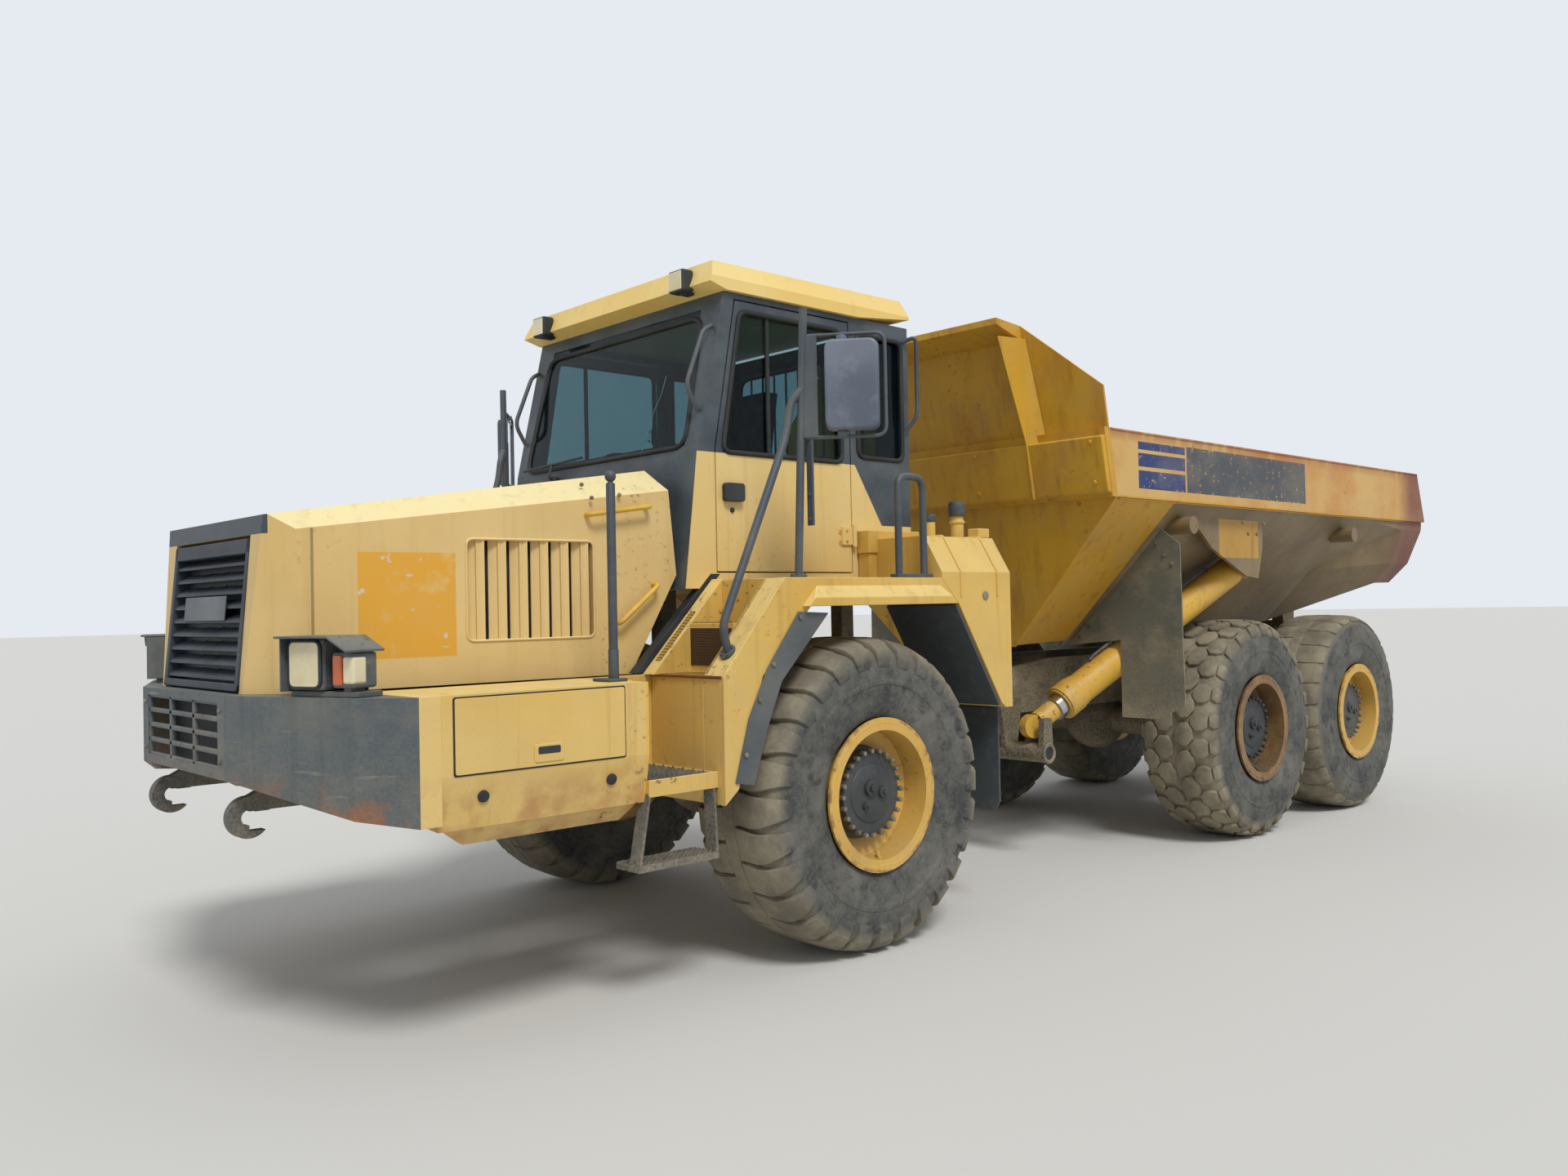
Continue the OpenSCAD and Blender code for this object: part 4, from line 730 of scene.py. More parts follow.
def makeWheelCentre(kind):
    w = wheelCentre
    centre = at(axles[kind], wheelOut, wheelHeight)

    def stub(name, spot, span, *shape):  # a short rod that stands outwards
        out = Vector((0, 1, 0))
        return rod(name, spot + out * span[0], spot + out * span[1], *shape)

    hubParts = [spun(kind + "Flange", w["flange"], centre, 72)]
    for (ahead, above), radius in w["plugs"]:
        spot = centre + Vector((ahead, 0, above))
        hubParts.append(stub("plug", spot, w["plugSpan"], radius, 24, 0.003))
        hubParts.append(stub("plugHead", spot, w["plugHeadSpan"], radius * 0.5, 6, 0.001))
    hub = joined(f"hub{kind.title()}Left", hubParts)
    boltParts = []
    for k in range(w["bolts"]):
        a = 2 * math.pi * k / w["bolts"]
        spot = centre + Vector((math.cos(a), 0, math.sin(a))) * w["boltRing"]
        boltParts.append(stub("bolt", spot, w["boltSpan"], w["boltRadius"], 6, 0.002))
    bolts = joined(f"bolts{kind.title()}Left", boltParts)
    ring = spun(kind + "Ring", w["ring"], centre)
    clamp = block("clamp", *(centre + Vector(corner) for corner in w["clamp"]), 0.006)
    valve = rod("valve", *(centre + Vector(end) for end in w["valve"]), 0.010, 12)
    rimParts = joined(f"lockRing{kind.title()}Left", [ring, clamp, valve])
    bodies = (f"wheel_{kind}_left", f"wheel_{kind}_right")
    oily = kind == "mid"
    bothSides(hub, bodies, "hub")
    bothSides(bolts, bodies, "hub" if oily else "bolt")
    bothSides(rimParts, bodies, "rimOily" if oily else "rimYellow")


for kind in axles:
    makeWheelCentre(kind)
print("wheel centres made")


# cab: seals, wiper, handle, guard
cab = {
    "half": 0.860, "rear": -0.900, "frontFoot": (0.710, 2.570), "frontLean": 0.19 / 0.82,
    "screen": [(-0.755, 2.585), (0.755, 2.585), (0.722, 3.278), (-0.722, 3.278)], "screenBend": 0.09,
    "doorPane": [(0.545, 2.560), (0.415, 3.300), (-0.330, 3.300), (-0.330, 2.560)],
    "quarterPane": [(-0.460, 2.600), (-0.460, 3.300), (-0.840, 3.300), (-0.840, 2.600)],
    "rearPane": [(-0.640, 2.500), (0.640, 2.500), (0.640, 3.300), (-0.640, 3.300)], "paneBend": 0.055,
    "divider": ((0.215, 2.570), (0.215, 3.290)), "seal": 0.014}


def cabFront(z):  # the outside of the cab's front wall
    x, foot = cab["frontFoot"]
    return x - cab["frontLean"] * (z - foot)


def onScreen(out, y, z):
    return at(cabFront(z) + out, y, z)


doors = ("door_left", "door_right")


def makeSeals():
    def seal(name, places, bend):
        return pipe(name, places, cab["seal"], bend, closed=True)

    half, screenBend, paneBend = cab["half"], cab["screenBend"], cab["paneBend"]
    front = seal("screenSeal", [onScreen(0.001, y, z) for y, z in cab["screen"]], screenBend)
    dress(front, "tractor", "seal")
    back = seal("rearSeal", [at(cab["rear"] - 0.001, y, z) for y, z in cab["rearPane"]], screenBend)
    dress(back, "tractor", "seal")
    door = seal("doorSealLeft", [at(x, half, z) for x, z in cab["doorPane"]], paneBend)
    divider = rod("doorDivider", *(at(x, half - 0.012, z) for x, z in cab["divider"]), 0.013, 12)
    bothSides(joined("doorSealLeft", [door, divider]), doors, "seal")
    quarter = seal("quarterSealLeft", [at(x, half, z) for x, z in cab["quarterPane"]], paneBend)
    bothSides(quarter, "tractor", "seal")


wiper = {"rest": [(-0.73, 2.553), (-0.13, 2.577)], "pivot": (-0.42, 2.515), "stand": 0.030, "blade": 0.008,
         "arm": 0.007, "boss": 0.022}
crack = {"line": [(0.486, 2.997), (0.470, 2.900), (0.430, 2.812), (0.412, 2.700), (0.378, 2.590)], "out": -0.0032,
         "radius": 0.0016}


def makeWiper():
    stand = wiper["stand"]
    ends = [at(cabFront(z) + stand, y, z + 0.04) for y, z in wiper["rest"]]
    blade = rod("blade", ends[0], ends[1], wiper["blade"], 10)
    y, z = wiper["pivot"]
    elbow = at(cabFront(z) + stand + 0.02, y, z + 0.01)
    arm = pipe("arm", [onScreen(0.002, y, z), elbow, (ends[0] + ends[1]) / 2], wiper["arm"], 0.02)
    boss = rod("boss", onScreen(-0.002, y, z), onScreen(0.03, y, z), wiper["boss"], 20, 0.003)
    dress(joined("wiper", [blade, arm, boss]), "tractor", "black")
    line, out = crack["line"], crack["out"]
    lines = [rod("crackPart", onScreen(out, *a), onScreen(out, *b), crack["radius"], 6) for a, b in zip(line, line[1:])]
    dress(joined("screenCrack", lines), "tractor", "crack")


doorTrim = {"cup": (0.425, 0.555, 2.305, 2.400), "cupDeep": 0.034, "keyhole": (0.490, 2.262),
            "hingeX": (-0.345, -0.295), "hingeHeights": (2.15, 2.90)}


def makeDoorTrim():
    d, half = doorTrim, cab["half"]
    near = half + 0.0015
    cup = sidePlate("cup", roundedCorners(cornersOf(*d["cup"]), 0.02), near, near + d["cupDeep"], 0.004)
    x, z = d["keyhole"]
    lock = rod("lock", at(x, half, z), at(x, half + 0.008, z), 0.013, 20, 0.002)
    bothSides(joined("doorCupLeft", [cup, lock]), doors, "black")
    heads = [at(x, half + 0.012, z + rise) for z in d["hingeHeights"] for x in d["hingeX"] for rise in (-0.03, 0.03)]
    bothSides(boltHeads("hingeBoltsLeft", heads, (0, 1, 0), 0.008, 0.006), doors, "yellowBolt")


windowGuard = {"half": 0.68, "low": 2.47, "high": 3.33, "bars": 13, "stand": 0.035, "bar": 0.007, "frame": 0.010,
               "footHeights": (2.62, 3.18)}


def makeWindowGuard():
    g = windowGuard
    half, low, high = g["half"], g["low"], g["high"]
    x = cab["rear"] - g["stand"]
    bars = [rod("bar", at(x, y, low), at(x, y, high), g["bar"], 10) for y in spread(-half, half, g["bars"])]
    loop = pipe("frame", [at(x, y, z) for y, z in cornersOf(-half, half, low, high)], g["frame"], 0.05, closed=True)
    feet = [rod("foot", at(cab["rear"] + 0.002, y, z), at(x, y, z), g["frame"], 10)
            for y in (-half, half) for z in g["footHeights"]]
    dress(joined("windowGuard", bars + [loop] + feet), "tractor", "rail")


# hand rails and mirrors: the same tubes as in the solids, with soft bends
rails = {
    "radius": 0.020, "grip": 0.012,
    "stair": [(0.950, 1.350, 1.560), (0.984, 1.350, 1.672), (0.563, 1.352, 2.575), (0.534, 1.360, 2.745),
              (0.486, 1.396, 2.812)],
    "post": [(0.505, 1.362, 1.901), (0.482, 1.405, 3.200)],
    "hoop": [(-0.260, 1.330, 1.9005), (-0.260, 1.330, 2.440), (-0.460, 1.330, 2.440), (-0.460, 1.330, 1.9005)],
    "hoopFoot": ((-0.500, 1.300, 1.9005), (-0.220, 1.360, 1.922)),
    "pillarGrip": [(0.570, 0.820, 3.210), (0.625, 0.820, 3.180), (0.745, 0.820, 2.885), (0.674, 0.820, 2.765)],
    "rearGrip": [(-0.850, 0.860, 3.300), (-0.900, 0.930, 3.335), (-0.900, 0.930, 2.860), (-0.850, 0.860, 2.760)],
    "marker": (1.500, 1.225, 1.4505, 2.315)}


def tube(name, radius, bend):
    return pipe(name, [at(*p) for p in rails[name]], radius, bend)


def makeRails():
    r, grip = rails["radius"], rails["grip"]
    parts = [tube("stair", r, 0.11), tube("post", r, 0.02), tube("hoop", r, 0.07),
             block("hoopFoot", *(at(*p) for p in rails["hoopFoot"]), 0.004),
             tube("pillarGrip", grip, 0.05), tube("rearGrip", grip, 0.05)]
    x, y, low, high = rails["marker"]
    parts.append(rod("marker", at(x, y, low), at(x, y, high), r, 24, 0.003))
    parts.append(rod("markerSleeve", at(x, y, low), at(x, y, low + 0.14), r + 0.003, 24, 0.002))
    parts.append(rod("markerNeck", at(x, y, high), at(x, y, high + 0.02), r * 0.6, 16))
    deselect()
    bpy.ops.mesh.primitive_uv_sphere_add(segments=24, ring_count=14, radius=0.025, location=at(x, y, high + 0.030))
    parts.append(smooth(settled(bpy.context.object, "markerBall")))
    parts.append(block("markerFoot", at(x - 0.05, y - 0.09, low), at(x + 0.05, y + 0.035, low + 0.014), 0.003))
    (z0, z1), reach = mirror["frame"], mirror["reach"][1] + 0.042
    loop = [mirrorPlace(a, 0.0, z) for a, z in cornersOf(0.0, reach, z0, z1)]
    parts.append(pipe("mirrorFrame", loop, 0.009, 0.05))
    bracket = [mirrorPlace(a, -0.014, z) for a, z in cornersOf(-0.01, 0.06, z0, z1)]
    parts.append(plate("mirrorBracket", bracket, mirrorWay(0.010), 0.002))
    whole = bothJoined("railsAndMirrors", parts)
    dress(whole, "tractor", "rail")
    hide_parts("rails_and_mirrors")


# mirrors: housing, glass, clamps and the strap on the post
mirror = {"post": (0.477, 1.405), "angle": math.radians(128.4), "reach": (0.112, 0.345), "height": (2.612, 3.022),
          "frame": (2.572, 3.066), "deep": 0.060, "clampAlong": 0.18, "clampHeights": (2.586, 3.048),
          "clampHalf": (0.02, 0.02, 0.014), "strap": ((0.455, 1.392, 2.15), (0.467, 1.432, 2.86)),
          "strapBolts": (2.18, 2.30, 2.60, 2.82)}


def mirrorPlace(along, out, z):
    x, y = mirror["post"]
    turn = mirror["angle"]
    return at(x + along * math.cos(turn) - out * math.sin(turn), y + along * math.sin(turn) + out * math.cos(turn), z)


def mirrorWay(out):
    return mirrorPlace(0, out, 0) - mirrorPlace(0, 0, 0)


def makeMirrors():
    (a0, a1), (z0, z1), deep = mirror["reach"], mirror["height"], mirror["deep"]

    def outline(out, grow, bend=None):
        corners = cornersOf(a0, a1, z0, z1, grow)
        return [mirrorPlace(a, out, z) for a, z in (roundedCorners(corners, bend) if bend else corners)]

    glass = plate("mirrorGlassLeft", outline(-0.0055, 0.0, 0.03), mirrorWay(0.004), 0.001)
    bothSides(glass, "tractor", "mirror")
    rim = pipe("rim", outline(0.002, 0.008), 0.006, 0.035, closed=True)
    shell = plate("mirrorShell", outline(-deep, 0.012, 0.05), mirrorWay(deep - 0.006), 0.012)
    spots, size = [mirrorPlace(mirror["clampAlong"], 0, z) for z in mirror["clampHeights"]], Vector(mirror["clampHalf"])
    clamps = [block("clamp", spot - size, spot + size, 0.004) for spot in spots]
    bothSides(joined("mirrorRimLeft", [rim, shell] + clamps), "tractor", "mirrorShell")
    strap = block("strap", *(at(*p) for p in mirror["strap"]), 0.002)
    (_, y0, _), (x, y1, _) = mirror["strap"]
    heads = boltHeads("heads", [at(x, (y0 + y1) / 2, z) for z in mirror["strapBolts"]], (1, 0, 0), 0.010, 0.008)
    bothSides(joined("postStrapLeft", [strap, heads]), "tractor", "rail")


# hood: the bare plates' bolts, handles and the vent's slats
hood = {"handles": (((1.322, 2.215), (0.989, 2.263)), ((1.175, 1.698), (0.949, 1.882))), "reach": 0.052,
        "handle": 0.0125, "vent": (1.290, 1.930, 1.640, 2.085), "slats": 6,
        "plateBolts": ((1.305, 0.79, 2.290), (1.145, 0.79, 2.311), (1.145, 0.70, 2.370), (1.300, 0.70, 2.360))}


def hoodSide(x):  # half of the hood's width, as the source has it
    return 0.800 - 0.100 * (x - 0.700) / 1.970


def onHood(x, out, z):
    return at(x, hoodSide(x) + out, z)


def makeHoodTrim():
    heads = boltHeads("plateBoltsLeft", [at(*p) for p in hood["plateBolts"]], (0, 0.6, 0.8), 0.010, 0.012)
    bothSides(heads, "tractor", "bolt")
    sunk, reach = -0.004, hood["reach"]
    grips = [pipe("handle", [onHood(x0, sunk, z0), onHood(x0, reach, z0), onHood(x1, reach, z1), onHood(x1, sunk, z1)],
                  hood["handle"], 0.035) for (x0, z0), (x1, z1) in hood["handles"]]
    bothSides(joined("hoodHandlesLeft", grips), "tractor", "yellowBolt")
    x0, x1, z0, z1 = hood["vent"]
    pitch = (x1 - x0) / hood["slats"]
    slats = []
    for k in range(hood["slats"]):
        front = x1 - k * pitch - 0.012
        rear = front - pitch * 0.66
        outline = [onHood(x, out, z0 - 0.006) for x, out in
                   ((front, -0.034), (rear, 0.003), (rear, -0.004), (front, -0.040))]
        slats.append(plate("slat", outline, (0, 0, z1 - z0 + 0.012), 0.0015))
    bothSides(joined("ventSlatsLeft", slats), "tractor", "hood")
    # a black sheet behind the slats: painted shade of the vent's inside
    outline = [onHood(x, out, z0 - 0.008) for x, out in
               ((x1 + 0.008, -0.060), (x0 - 0.008, -0.060), (x0 - 0.008, -0.056), (x1 + 0.008, -0.056))]
    bothSides(plate("ventShadeBackLeft", outline, (0, 0, z1 - z0 + 0.016), 0.0), "tractor", "black")
    loop = [onHood(x, 0.001, z) for x, z in cornersOf(x0, x1, z0, z1, 0.004)]
    bothSides(pipe("ventRimLeft", loop, 0.006, 0.035, closed=True), "tractor", "hood")


# grille: leaning frame, broad slats with small fins, a blank plate
nose = {"foot": (2.820, 1.450), "lean": math.atan(0.070 / 0.710), "half": 0.4695, "high": 0.640, "slats": 9,
        "fins": (-0.29, -0.10, 0.10, 0.29), "fin": 0.008, "blank": (-0.265, 0.250, 0.300, 0.405)}


def onNose(out, y, up):
    x, z = nose["foot"]
    lean = nose["lean"]
    return at(x + out * math.cos(lean) - up * math.sin(lean), y, z + out * math.sin(lean) + up * math.cos(lean))


def makeGrille():
    half, high = nose["half"], nose["high"]

    def bar(y0, y1, h0, h1, near=-0.058, far=0.010, edge=0.004):
        corners = [onNose(near, y, up) for y, up in cornersOf(y0, y1, h0, h1)]
        return plate("bar", corners, onNose(far, 0, 0) - onNose(near, 0, 0), edge)

    def across(name, outline, start, wide, edge):
        return plate(name, [onNose(out, start, up) for out, up in outline], (0, wide, 0), edge)

    parts = [bar(-half, half, 0.007, 0.040), bar(-half, half, high - 0.062, high),
             bar(-half, -half + 0.035, 0.007, high), bar(half - 0.035, half, 0.007, high)]
    pitch = (high - 0.100) / nose["slats"]
    for k in range(nose["slats"]):
        foot = 0.040 + k * pitch
        slat = [(0.002, foot + pitch * 0.18), (0.002, foot + pitch * 0.36), (-0.044, foot + pitch * 0.92),
                (-0.050, foot + pitch * 0.84)]
        parts.append(across("slat", slat, -half + 0.03, 2 * half - 0.06, 0.0015))
        fin = [(0.000, foot + pitch * 0.16), (0.000, foot + pitch * 0.40), (-0.046, foot + pitch * 1.0),
               (-0.046, foot + pitch * 0.5)]
        parts += [across("fin", fin, y - nose["fin"] / 2, nose["fin"], 0.0) for y in nose["fins"]]
    parts.append(bar(-half + 0.02, half - 0.02, 0.03, high - 0.03, -0.058, -0.054, 0.0))
    whole = joined("grilleSlats", parts)
    dress(whole, "tractor", "grille")
    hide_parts("grille")
    y0, y1, h0, h1 = nose["blank"]
    dress(bar(y0, y1, h0, h1, 0.004, 0.010, 0.002), "tractor", "barePlate").name = "grilleBlankPlate"


# bumper: the slotted panel at its middle
bumper = {"front": 2.900, "half": 0.455, "low": 1.150, "high": 1.418, "rows": 4, "wall": 0.025, "bar": 0.010,
          "post": 0.014}


def cutCopy(node, name, boxes):  # a copy of a built piece with boxes taken out of it
    piece = outward(linked(bpy.data.objects.new(name, nodes[node].data.copy())))
    cutter = joined("cutter", [block("cut", low, high, 0) for low, high in boxes])
    only(piece)
    cut = piece.modifiers.new("cut", "BOOLEAN")
    cut.operation, cut.solver, cut.object = "DIFFERENCE", "EXACT", cutter
    bpy.ops.object.modifier_apply(modifier=cut.name)
    bpy.data.objects.remove(cutter)
    return piece


def makeBumper():
    front, half, low, high = bumper["front"], bumper["half"], bumper["low"], bumper["high"]
    shell = cutCopy("bumper", "bumperShell", [(at(front - 0.06, -half, low), at(front + 0.02, half, high))])
    parts = [shell]
    x0, x1 = front - bumper["wall"], front - 0.004
    pitch = (high - low) / bumper["rows"]
    for k in range(bumper["rows"] + 1):
        z, thick = low + k * pitch, bumper["bar"]
        parts.append(block("bar", at(x0, -half - 0.004, z - thick), at(x1, half + 0.004, z + thick), 0.003))
    for y in (-half, -half / 3, half / 3, half):
        wide = bumper["post"]
        parts.append(block("post", at(x0, y - wide, low - 0.008), at(x1, y + wide, high + 0.008), 0.003))
    whole = joined("bumperShell", parts)
    dress(smooth(whole, 30), "tractor", "bumper")
    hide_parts("bumper")
    # a black plate behind the slots: painted shade of the bumper's dark inside
    back = block("bumperShadeBack", at(front - 0.110, -half - 0.02, low - 0.02),
                 at(front - 0.106, half + 0.02, high + 0.005), 0.0)
    dress(back, "tractor", "black")
    heads = [at(front, y, z) for y in (-half - 0.030, half + 0.030) for z in (low + 0.03, high - 0.03)]
    dress(boltHeads("bumperBolts", heads, (1, 0, 0), 0.010, 0.008), "tractor", "bolt")


# lamps: the headlamp and indicator unit follows the bumper's slant
lamp = {"start": (2.765, 0.869), "end": (2.633, 1.262), "foot": 1.4505, "head": (0.0, 0.165, 1.488, 1.664),
        "top": 1.686, "roofSpan": (-0.045, 0.150), "side": (0.228, 0.326, 1.496, 1.612),
        "work": ((0.600, 0.676), (0.600, 0.722), (3.396, 3.512))}


def byLamp(along, back, z):
    x0, y0 = lamp["start"]
    way = Vector((lamp["end"][0] - x0, lamp["end"][1] - y0, 0)).normalized()
    return at(x0 + along * way.x - back * way.y, y0 + along * way.y + back * way.x, z)


def lampBox(name, a0, a1, back0, back1, z0, z1, edge=0.006):
    corners = [byLamp(a, back, z0) for a, back in cornersOf(a0, a1, back0, back1)]
    return plate(name, corners, (0, 0, z1 - z0), edge)


def makeLamps():
    a0, a1, z0, z1 = lamp["head"]
    b0, b1, w0, w1 = lamp["side"]
    foot, top, (back0, back1) = lamp["foot"], lamp["top"], lamp["roofSpan"]
    parts = [lampBox("bowl", a0 - 0.012, a1 + 0.012, 0.004, 0.135, z0 - 0.012, z1 + 0.012, 0.014),
             lampBox("sideBox", b0 - 0.010, b1 + 0.010, 0.010, 0.125, w0 - 0.010, w1 + 0.010, 0.010),
             lampBox("base", a0 - 0.02, b1 + 0.012, 0.020, 0.150, foot, foot + 0.022, 0.004),
             lampBox("post", a0 + 0.04, a1 - 0.04, 0.04, 0.10, foot + 0.01, z0, 0.004),
             lampBox("sidePost", b0 + 0.03, b1 - 0.03, 0.03, 0.10, foot + 0.01, w0, 0.004),
             lampBox("backPlate", a0 - 0.03, a1 + 0.10, 0.142, 0.148, foot, top - 0.012, 0.002),
             lampBox("innerPlate", a0 - 0.036, a0 - 0.030, -0.020, 0.148, foot + 0.02, top, 0.002)]
    roof = [(-0.040, top), (0.250, top), (0.350, top - 0.054), (0.350, top - 0.064), (0.248, top - 0.010),
            (-0.040, top - 0.010)]
    depth = byLamp(0, back1, 0) - byLamp(0, back0, 0)
    parts.append(plate("roof", [byLamp(a, back0, z) for a, z in roof], depth, 0.003))
    bothSides(joined("lampUnitLeft", parts), "tractor", "bumper")
    corners = cornersOf(a0, a1, z0, z1)
    rim = pipe("lampRimLeft", [byLamp(a, 0.001, z) for a, z in corners], 0.008, 0.03, closed=True)
    bothSides(rim, "tractor", "black")
    glass = [byLamp(a, 0.010, z) for a, z in roundedCorners(corners, 0.03)]
    lens = plate("headlampLensLeft", glass, byLamp(0, 0, 0) - byLamp(0, 0.016, 0), 0.004)
    bothSides(lens, "tractor", "lens")
    middle = (b0 + b1) / 2
    bothSides(lampBox("indicatorLeft", b0, middle, 0.000, 0.040, w0, w1, 0.008), "tractor", "amber")
    lens = lampBox("sideLensLeft", middle + 0.004, b1 + 0.014, 0.002, 0.070, w0 + 0.006, w1 - 0.006, 0.010)
    bothSides(lens, "tractor", "lens")
    (x0, x1), (y0, y1), (w0, w1) = lamp["work"]
    box = [block("workLamp", at(x0, y0, w0), at(x1, y1, w1), 0.012),
           block("workArm", at(x0 - 0.030, y0 + 0.035, w0 - 0.006), at(x0 + 0.03, y1 - 0.035, w0 + 0.020), 0.003)]
    bothSides(joined("workLampLeft", box), "tractor", "black")
    lens = block("workLensLeft", at(x1 - 0.004, y0 + 0.010, w0 + 0.010), at(x1 + 0.004, y1 - 0.010, w1 - 0.010), 0.004)
    bothSides(lens, "tractor", "lens")
    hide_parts("lamps")


# fenders: deck, open stair, inner stringer, skirt and flare
fender = {
    "in": 0.866, "stairOut": 1.275, "half": 1.420, "sheet": 0.020,
    "tread": [(1.040, 0.870), (1.040, 1.450), (0.850, 1.450), (0.850, 1.690), (0.650, 1.690), (0.650, 1.900),
              (-0.500, 1.900), (-0.500, 1.880), (0.630, 1.880), (0.630, 1.670), (0.830, 1.670), (0.830, 1.430),
              (1.020, 1.430), (1.020, 0.870)],
    "web": [(1.040, 1.450), (0.650, 1.900), (0.630, 1.670), (0.830, 1.430), (1.020, 1.430)],
    "band": [(1.040, 0.870), (1.040, 1.450), (0.650, 1.900), (-0.500, 1.900), (-0.500, 1.880), (0.641, 1.880),
             (1.020, 1.443), (1.020, 0.870)],
    "skirt": [(1.040, 0.870), (1.040, 1.450), (0.650, 1.900), (-0.500, 1.900), (-0.540, 1.860), (-0.640, 1.760),
              (0.480, 1.760), (0.800, 1.440), (0.960, 0.935)],
    "drop": [(-0.500, 1.880), (-0.440, 1.880), (-0.580, 1.760), (-0.640, 1.760)],
    "stringer": ([(1.080, 1.4505), (0.850, 1.6886), (0.850, 1.4505)],
                 [(0.850, 1.6886), (0.640, 1.906), (0.640, 1.6886)]),
    "seal": [(1.120, 1.455), (0.640, 1.935), (0.575, 1.935), (1.055, 1.455)],
    "flare": [(1.405, 1.760), (1.470, 1.760), (1.470, 1.800), (1.420, 1.860), (1.405, 1.860)],
    "flareX": (-0.56, 0.54), "flareLean": (0.080, -0.110), "flareFoot": 1.760, "flareRise": 0.110,
    "strip": ((1.019, 1.514), (0.797, 1.744)), "stripY": (0.893, 0.930), "stripLift": 0.0035,
    "liner": [(-0.632, 1.757), (-0.995, 1.190), (-0.983, 1.182), (-0.620, 1.749)]}


def makeFenders():
    f = fender
    parts = [sidePlate("tread", f["tread"], f["in"], f["stairOut"], 0.004),
             sidePlate("web", f["web"], f["stairOut"], f["stairOut"] + f["sheet"], 0.002),
             sidePlate("band", f["band"], f["stairOut"], f["half"] - f["sheet"], 0.004),
             sidePlate("skirt", f["skirt"], f["half"] - f["sheet"], f["half"], 0.004),
             sidePlate("drop", f["drop"], f["in"], f["half"] - f["sheet"], 0.002),
             *(sidePlate("stringer", outline, f["in"] + 0.002, 0.955, 0.0) for outline in f["stringer"])]
    flare = crossPlate("flare", f["flare"], *f["flareX"], 0.0)
    for vertex in flare.data.vertices:  # the rear and the front end lean in towards the top
        rise = (vertex.co.z - f["flareFoot"]) / f["flareRise"]
        vertex.co.x += f["flareLean"][vertex.co.x > axleShift] * rise
    parts.append(bevelled(flare, 0.004))
    both = bothJoined("fendersDressed", parts)
    dress(both, "tractor", "fender")
    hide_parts("fenders")
    # a dark strip between the hood's rear edge and the stringer
    bothSides(sidePlate("hoodDarkStripLeft", f["seal"], 0.805, 0.862, 0.003), "tractor", "black")
    (x0, z0), (x1, z1) = f["strip"]
    (y0, y1), lift = f["stripY"], f["stripLift"]
    corners = [at(x + lift, y, z + lift) for y, x, z in ((y0, x0, z0), (y1, x0, z0), (y1, x1, z1), (y0, x1, z1))]
    bothSides(plate("stringerStripLeft", corners, (-0.003, 0, -0.003), 0.0), "tractor", "tread")
    liner = sidePlate("archLinerLeft", f["liner"], f["in"] + 0.04, 1.412, 0.002)
    bothSides(liner, "tractor", "rubber")


flap = {"front": [(0.571, 1.736), (0.780, 1.473), (0.898, 1.253), (0.984, 0.966), (0.874, 0.946), (0.787, 1.196),
                  (0.689, 1.413), (0.371, 1.727)],
        "rearX": (-1.090, -1.078), "rearY": (0.950, 1.330), "rearZ": (0.575, 1.169)}


def makeFlaps():
    half = fender["half"]
    front = sidePlate("front", flap["front"], half + 0.0005, half + 0.009, 0.002)
    (x0, x1), (y0, y1), (z0, z1) = flap["rearX"], flap["rearY"], flap["rearZ"]
    rear = crossPlate("rear", [(y0 + 0.03, z0), (y1 - 0.03, z0), (y1, z0 + 0.05), (y1, z1), (y0, z1), (y0, z0 + 0.05)],
                      x0, x1, 0.002)
    rearStrip = block("strip", at(x1 - 0.001, y0 + 0.01, z1 - 0.055), at(x1 + 0.006, y1 - 0.01, z1 - 0.012), 0.002)
    both = bothJoined("rubberFlaps", [front, rear, rearStrip])
    dress(both, "tractor", "rubber")
    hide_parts("rubber_flaps")


# fairings: the door panel, its latch and the folded lower edge
fairing = {"door": (1.560, 2.345, 1.145, 1.436), "side": 1.380, "latch": (1.935, 1.196), "latchFrame": (0.068, 0.036),
           "latchSlot": (0.052, -0.004, 0.026), "skirtX": (1.455, 2.395), "skirtCut": (0.45, -1.6), "skirtTop": 0.945,
           "skirt": [(1.338, 0.938), (1.240, 0.850), (1.226, 0.858), (1.318, 0.945)]}


def makeFairings():
    f, (x0, x1, z0, z1), (x, z) = fairing, fairing["door"], fairing["latch"]
    half, high = f["latchFrame"]
    slotHalf, low, top = f["latchSlot"]

    def panel(name, corners, bend, out, thick, edge):  # a thin plate with soft corners on the fairing's side
        return sidePlate(name, roundedCorners(corners, bend), f["side"] + out, f["side"] + out + thick, edge)

    seam = cornersOf(x0 - 0.007, x1 + 0.007, z0 - 0.007, z1 + 0.006)
    bothSides(panel("fairingSeamLeft", seam, 0.012, 0.0004, 0.0012, 0.0), "tractor", "seal")
    parts = [panel("door", cornersOf(x0, x1, z0, z1), 0.010, 0.0012, 0.006, 0.002),
             panel("latchFrame", cornersOf(x - half, x + half, z - high, z + high), 0.012, 0.006, 0.006, 0.002),
             crossPlate("skirt", f["skirt"], *f["skirtX"], 0.003)]
    middle = axleShift + sum(f["skirtX"]) / 2
    for vertex in parts[-1].data.vertices:  # the rear and the front end are cut back towards the bottom
        vertex.co.x += (f["skirtTop"] - vertex.co.z) * f["skirtCut"][vertex.co.x > middle]
    bothSides(joined("fairingDoorLeft", parts), "tractor", "fairing")
    slot = cornersOf(x - slotHalf, x + slotHalf, z + low, z + top)
    bothSides(panel("fairingLatchLeft", slot, 0.008, 0.0115, 0.0012, 0.0), "tractor", "black")


